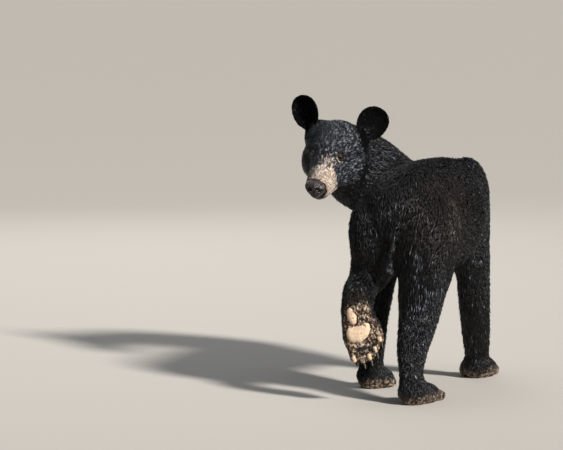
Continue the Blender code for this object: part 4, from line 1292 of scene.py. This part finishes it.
# A long tuft is a spindle with two rings of three points, and a short one has one ring.
LONG_FACES = (
    (0, 2, 1), (0, 3, 2), (0, 1, 3), (1, 2, 5, 4), (2, 3, 6, 5), (3, 1, 4, 6), (4, 5, 7), (5, 6, 7), (6, 4, 7)
)
SHORT_FACES = ((0, 2, 1), (0, 3, 2), (0, 1, 3), (1, 2, 4), (2, 3, 4), (3, 1, 4))
LONG_PATCH = (
    (0, -0.5), (-0.5, -0.17), (0, -0.17), (0.5, -0.17), (-0.35, 0.2), (0, 0.2), (0.35, 0.2), (0, 0.5)
)
SHORT_PATCH = ((0, -0.5), (-0.5, 0), (0, 0), (0.5, 0), (0, 0.5))


def ring(centre, way, normal, width, height, roll):
    across = unit(np.cross(normal, way))
    normal, across = (
        normal * np.cos(roll)[:, None] + across * np.sin(roll)[:, None],
        across * np.cos(roll)[:, None] - normal * np.sin(roll)[:, None],
    )
    return [
        centre + across * (width / 2)[:, None],
        centre + normal * height[:, None],
        centre - across * (width / 2)[:, None],
    ]


def unrolled(points, nearest):
    """Each point's place on the skin unrolled round the stretch it belongs to, in one strip per stretch."""
    places = np.zeros((len(points), 2))
    used = sorted(set(nearest.tolist()))
    for strip, index in enumerate(used):
        stretch = STRETCHES[index]
        here = nearest == index
        helper = np.array((0.0, 0.0, 1.0)) if abs(stretch.way[2]) < 0.9 else np.array((0.0, 1.0, 0.0))
        right = np.cross(stretch.way, helper)
        right /= np.linalg.norm(right)
        up = np.cross(right, stretch.way)
        away = points[here] - stretch.start
        round_share = np.arctan2(away @ right, away @ up) / math.tau + 0.5
        along = stretch.along(points[here])
        along = (along - along.min()) / max(along.max() - along.min(), 1e-6)
        places[here, 0] = (strip + 0.02 + 0.96 * round_share) / len(used)
        places[here, 1] = 0.01 + 0.98 * along
    return places


def mesh_of_tufts(name, columns, faces, patch, roots_uv, facts):
    """One plain mesh of all the tufts, with their patches and what is known of each."""
    count, size = len(columns[0]), len(columns)
    points = np.stack(columns, axis=1).reshape(-1, 3)
    points[:, 2] = np.maximum(points[:, 2], 0.0003)
    loops = np.concatenate([np.array(face) for face in faces])
    totals = np.array([len(face) for face in faces])
    all_loops, all_totals = (np.arange(count)[:, None] * size + loops).ravel(), np.tile(totals, count)
    mesh = bpy.data.meshes.new(name)
    mesh.vertices.add(len(points))
    mesh.vertices.foreach_set("co", points.ravel())
    mesh.loops.add(len(all_loops))
    mesh.loops.foreach_set("vertex_index", all_loops)
    mesh.polygons.add(len(all_totals))
    mesh.polygons.foreach_set("loop_start", np.concatenate([[0], np.cumsum(all_totals)[:-1]]))
    mesh.polygons.foreach_set("loop_total", all_totals)
    mesh.polygons.foreach_set("use_smooth", np.ones(len(all_totals), bool))
    unwrap = mesh.uv_layers.new(name="OFBake")
    places = np.clip(roots_uv, PATCH, 1 - PATCH)[:, None, :] + np.array(patch)[None] * PATCH
    unwrap.data.foreach_set("uv", places.reshape(-1, 2)[all_loops].ravel())
    mesh.update(calc_edges=True)
    mesh.validate()
    carry(mesh, {fact: np.repeat(values, size) for fact, values in facts.items()})
    return mesh


def locks(roots, size):
    """A number from 0 to 1 for each root: the same within one small cube, and mixed up from cube to cube."""
    mark = np.floor(roots / size).astype(np.int64) @ np.array(LOCK_MIX)
    mark = (mark ^ (mark >> 15)) % 2147483647 * 2246822519 % 4294967291
    return (mark ^ (mark >> 13)) % 8192 / 8192


def grown_coat(piece, seed):
    """One piece of the coat. Neighbouring tufts lie in locks, each painted as a glint or left dark as one."""
    rng = np.random.default_rng(seed)
    short = piece in SHORT_HAIR
    shape, patch, triangles = (SHORT_FACES, SHORT_PATCH, 6) if short else (LONG_FACES, LONG_PATCH, 12)
    faces, shares = scatter(piece, rng, MOST_TRIANGLES // triangles)

    def at_root(values):
        picked = values[corners[faces]]
        return (picked * (shares if values.ndim == 1 else shares[..., None])).sum(axis=1)

    roots = at_root(lie.points)
    keep = bare(roots) < 0.5
    faces, shares = faces[keep], shares[keep]
    roots, normals, way = at_root(lie.points), unit(at_root(lie.normals)), at_root(lie.way)
    count = len(roots)
    way = unit(way + np.cross(normals, way) * rng.normal(0, SWAY, count)[:, None])
    length = at_root(lie.length) * rng.uniform(0.75, 1.2, count)
    width = at_root(lie.width) * rng.uniform(0.7, 1.3, count)
    lift = rng.uniform(0.70, 1.0, count) ** 0.7
    roll = rng.normal(0.0, ROLL.get(piece, 0.55), count)
    stray = STRAY.get(piece, 0.0030) * np.maximum(rng.random(count) - 0.6, 0.0) / 0.4
    side_step = rng.normal(0.0, BOW.get(piece, 0.05), count) * length
    nearest = lie.nearest[corners[faces, shares.argmax(axis=1)]]
    below = roots - normals * ROOT_DEPTH
    place, ahead, stations = roots, way, []
    for step, off in SHORT_STEPS if short else LONG_STEPS:
        place, face = follow(place, ahead, length * step)
        stations.append((place, face_normal[face], face_room[face] * lift * off))
        ahead = face_way[face] if short or len(stations) > 1 else unit(0.5 * way + face_way[face])
    tip, upright, off = stations.pop()
    point = tip + upright * (off + stray)[:, None]
    one, upright1, off1 = stations[0]
    centre1 = one + upright1 * off1[:, None]
    if short:
        rings = ring(centre1, unit(point - below), upright1, width, width * SHORT_HEIGHT, roll)
    else:
        two, upright2, off2 = stations[1]
        bow = unit(np.cross(upright1, way)) * side_step[:, None]
        centre1 = centre1 + bow
        centre2 = two + upright2 * (off2 + 0.4 * stray)[:, None] - bow
        rings = [
            *ring(centre1, unit(centre2 - below), upright1, width, width * LONG_HEIGHT, roll),
            *ring(centre2, unit(point - centre1), upright2, width * TIP_WIDTH, width * TIP_HEIGHT, roll),
        ]
    lock = 0.78 * locks(roots, CLUMP.get(piece, LOCK)) + 0.22 * rng.random(count)
    # Painted glints lighten the tufts along the glint lines, and painted shade darkens them beside the tail's
    # root.
    shine, dark = near_lines(roots, PAINTED_GLINTS), 0.8 * np.minimum(near_lines(roots, BESIDE_TAIL) / 0.007, 1.0)
    # On the crown, the lit left side gets painted glints and the right side painted shade.
    if piece == "skull":
        aside = through(HEAD.inverted(), roots)[:, 0]
        shine, dark = 0.56 * (1 - rise(aside, -0.040, 0.060)), 0.40 * rise(aside, 0.000, 0.060)
    shade = (1 - shine) * (1 - dark) * lock ** PAINTED_GLINT_SCARCITY.get(piece, 2.2) + shine * rise(lock, 0.25, 0.85)
    # Painted shade: the hair in front of each ear's base is darkened.
    for frame_of_ear in EARS.values():
        notch = distance_from(through(frame_of_ear.inverted(), roots), (0.0, 0.0, -0.046))
        shade *= 0.35 + 0.65 * rise(notch, 0.010, 0.020)
    facts = {**markings(roots), "shade": shade}
    name, columns = "coat_" + piece, [below, *rings, point]
    return link(name, mesh_of_tufts(name, columns, shape, patch, unrolled(roots, nearest), facts))


hair_finish, tree, surface = finish_named("hair")
colouring = laid(tree, "ShaderNodeGroup", node_tree=HAIR_COLOURING)
feed(tree, surface, colouring.outputs["Color"], colouring.outputs["Roughness"])
surface.inputs["Specular IOR Level"].default_value = 0.42

velvet_finish, tree, surface = finish_named("ear_velvet")
colouring = laid(tree, "ShaderNodeGroup", node_tree=HAIR_COLOURING)
feed(tree, surface, colouring.outputs["Color"], reckoned(tree, "ADD", colouring.outputs["Roughness"], 0.30))
surface.inputs["Specular IOR Level"].default_value = 0.06

coat = [grown_coat(piece, COAT_SEED + index) for index, piece in enumerate(PIECES)]
for piece in coat:
    piece.data.materials.append(velvet_finish if piece.name == "coat_ears" else hair_finish)
    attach(piece, "root")
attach(skin, "root")
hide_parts(*FLESH)
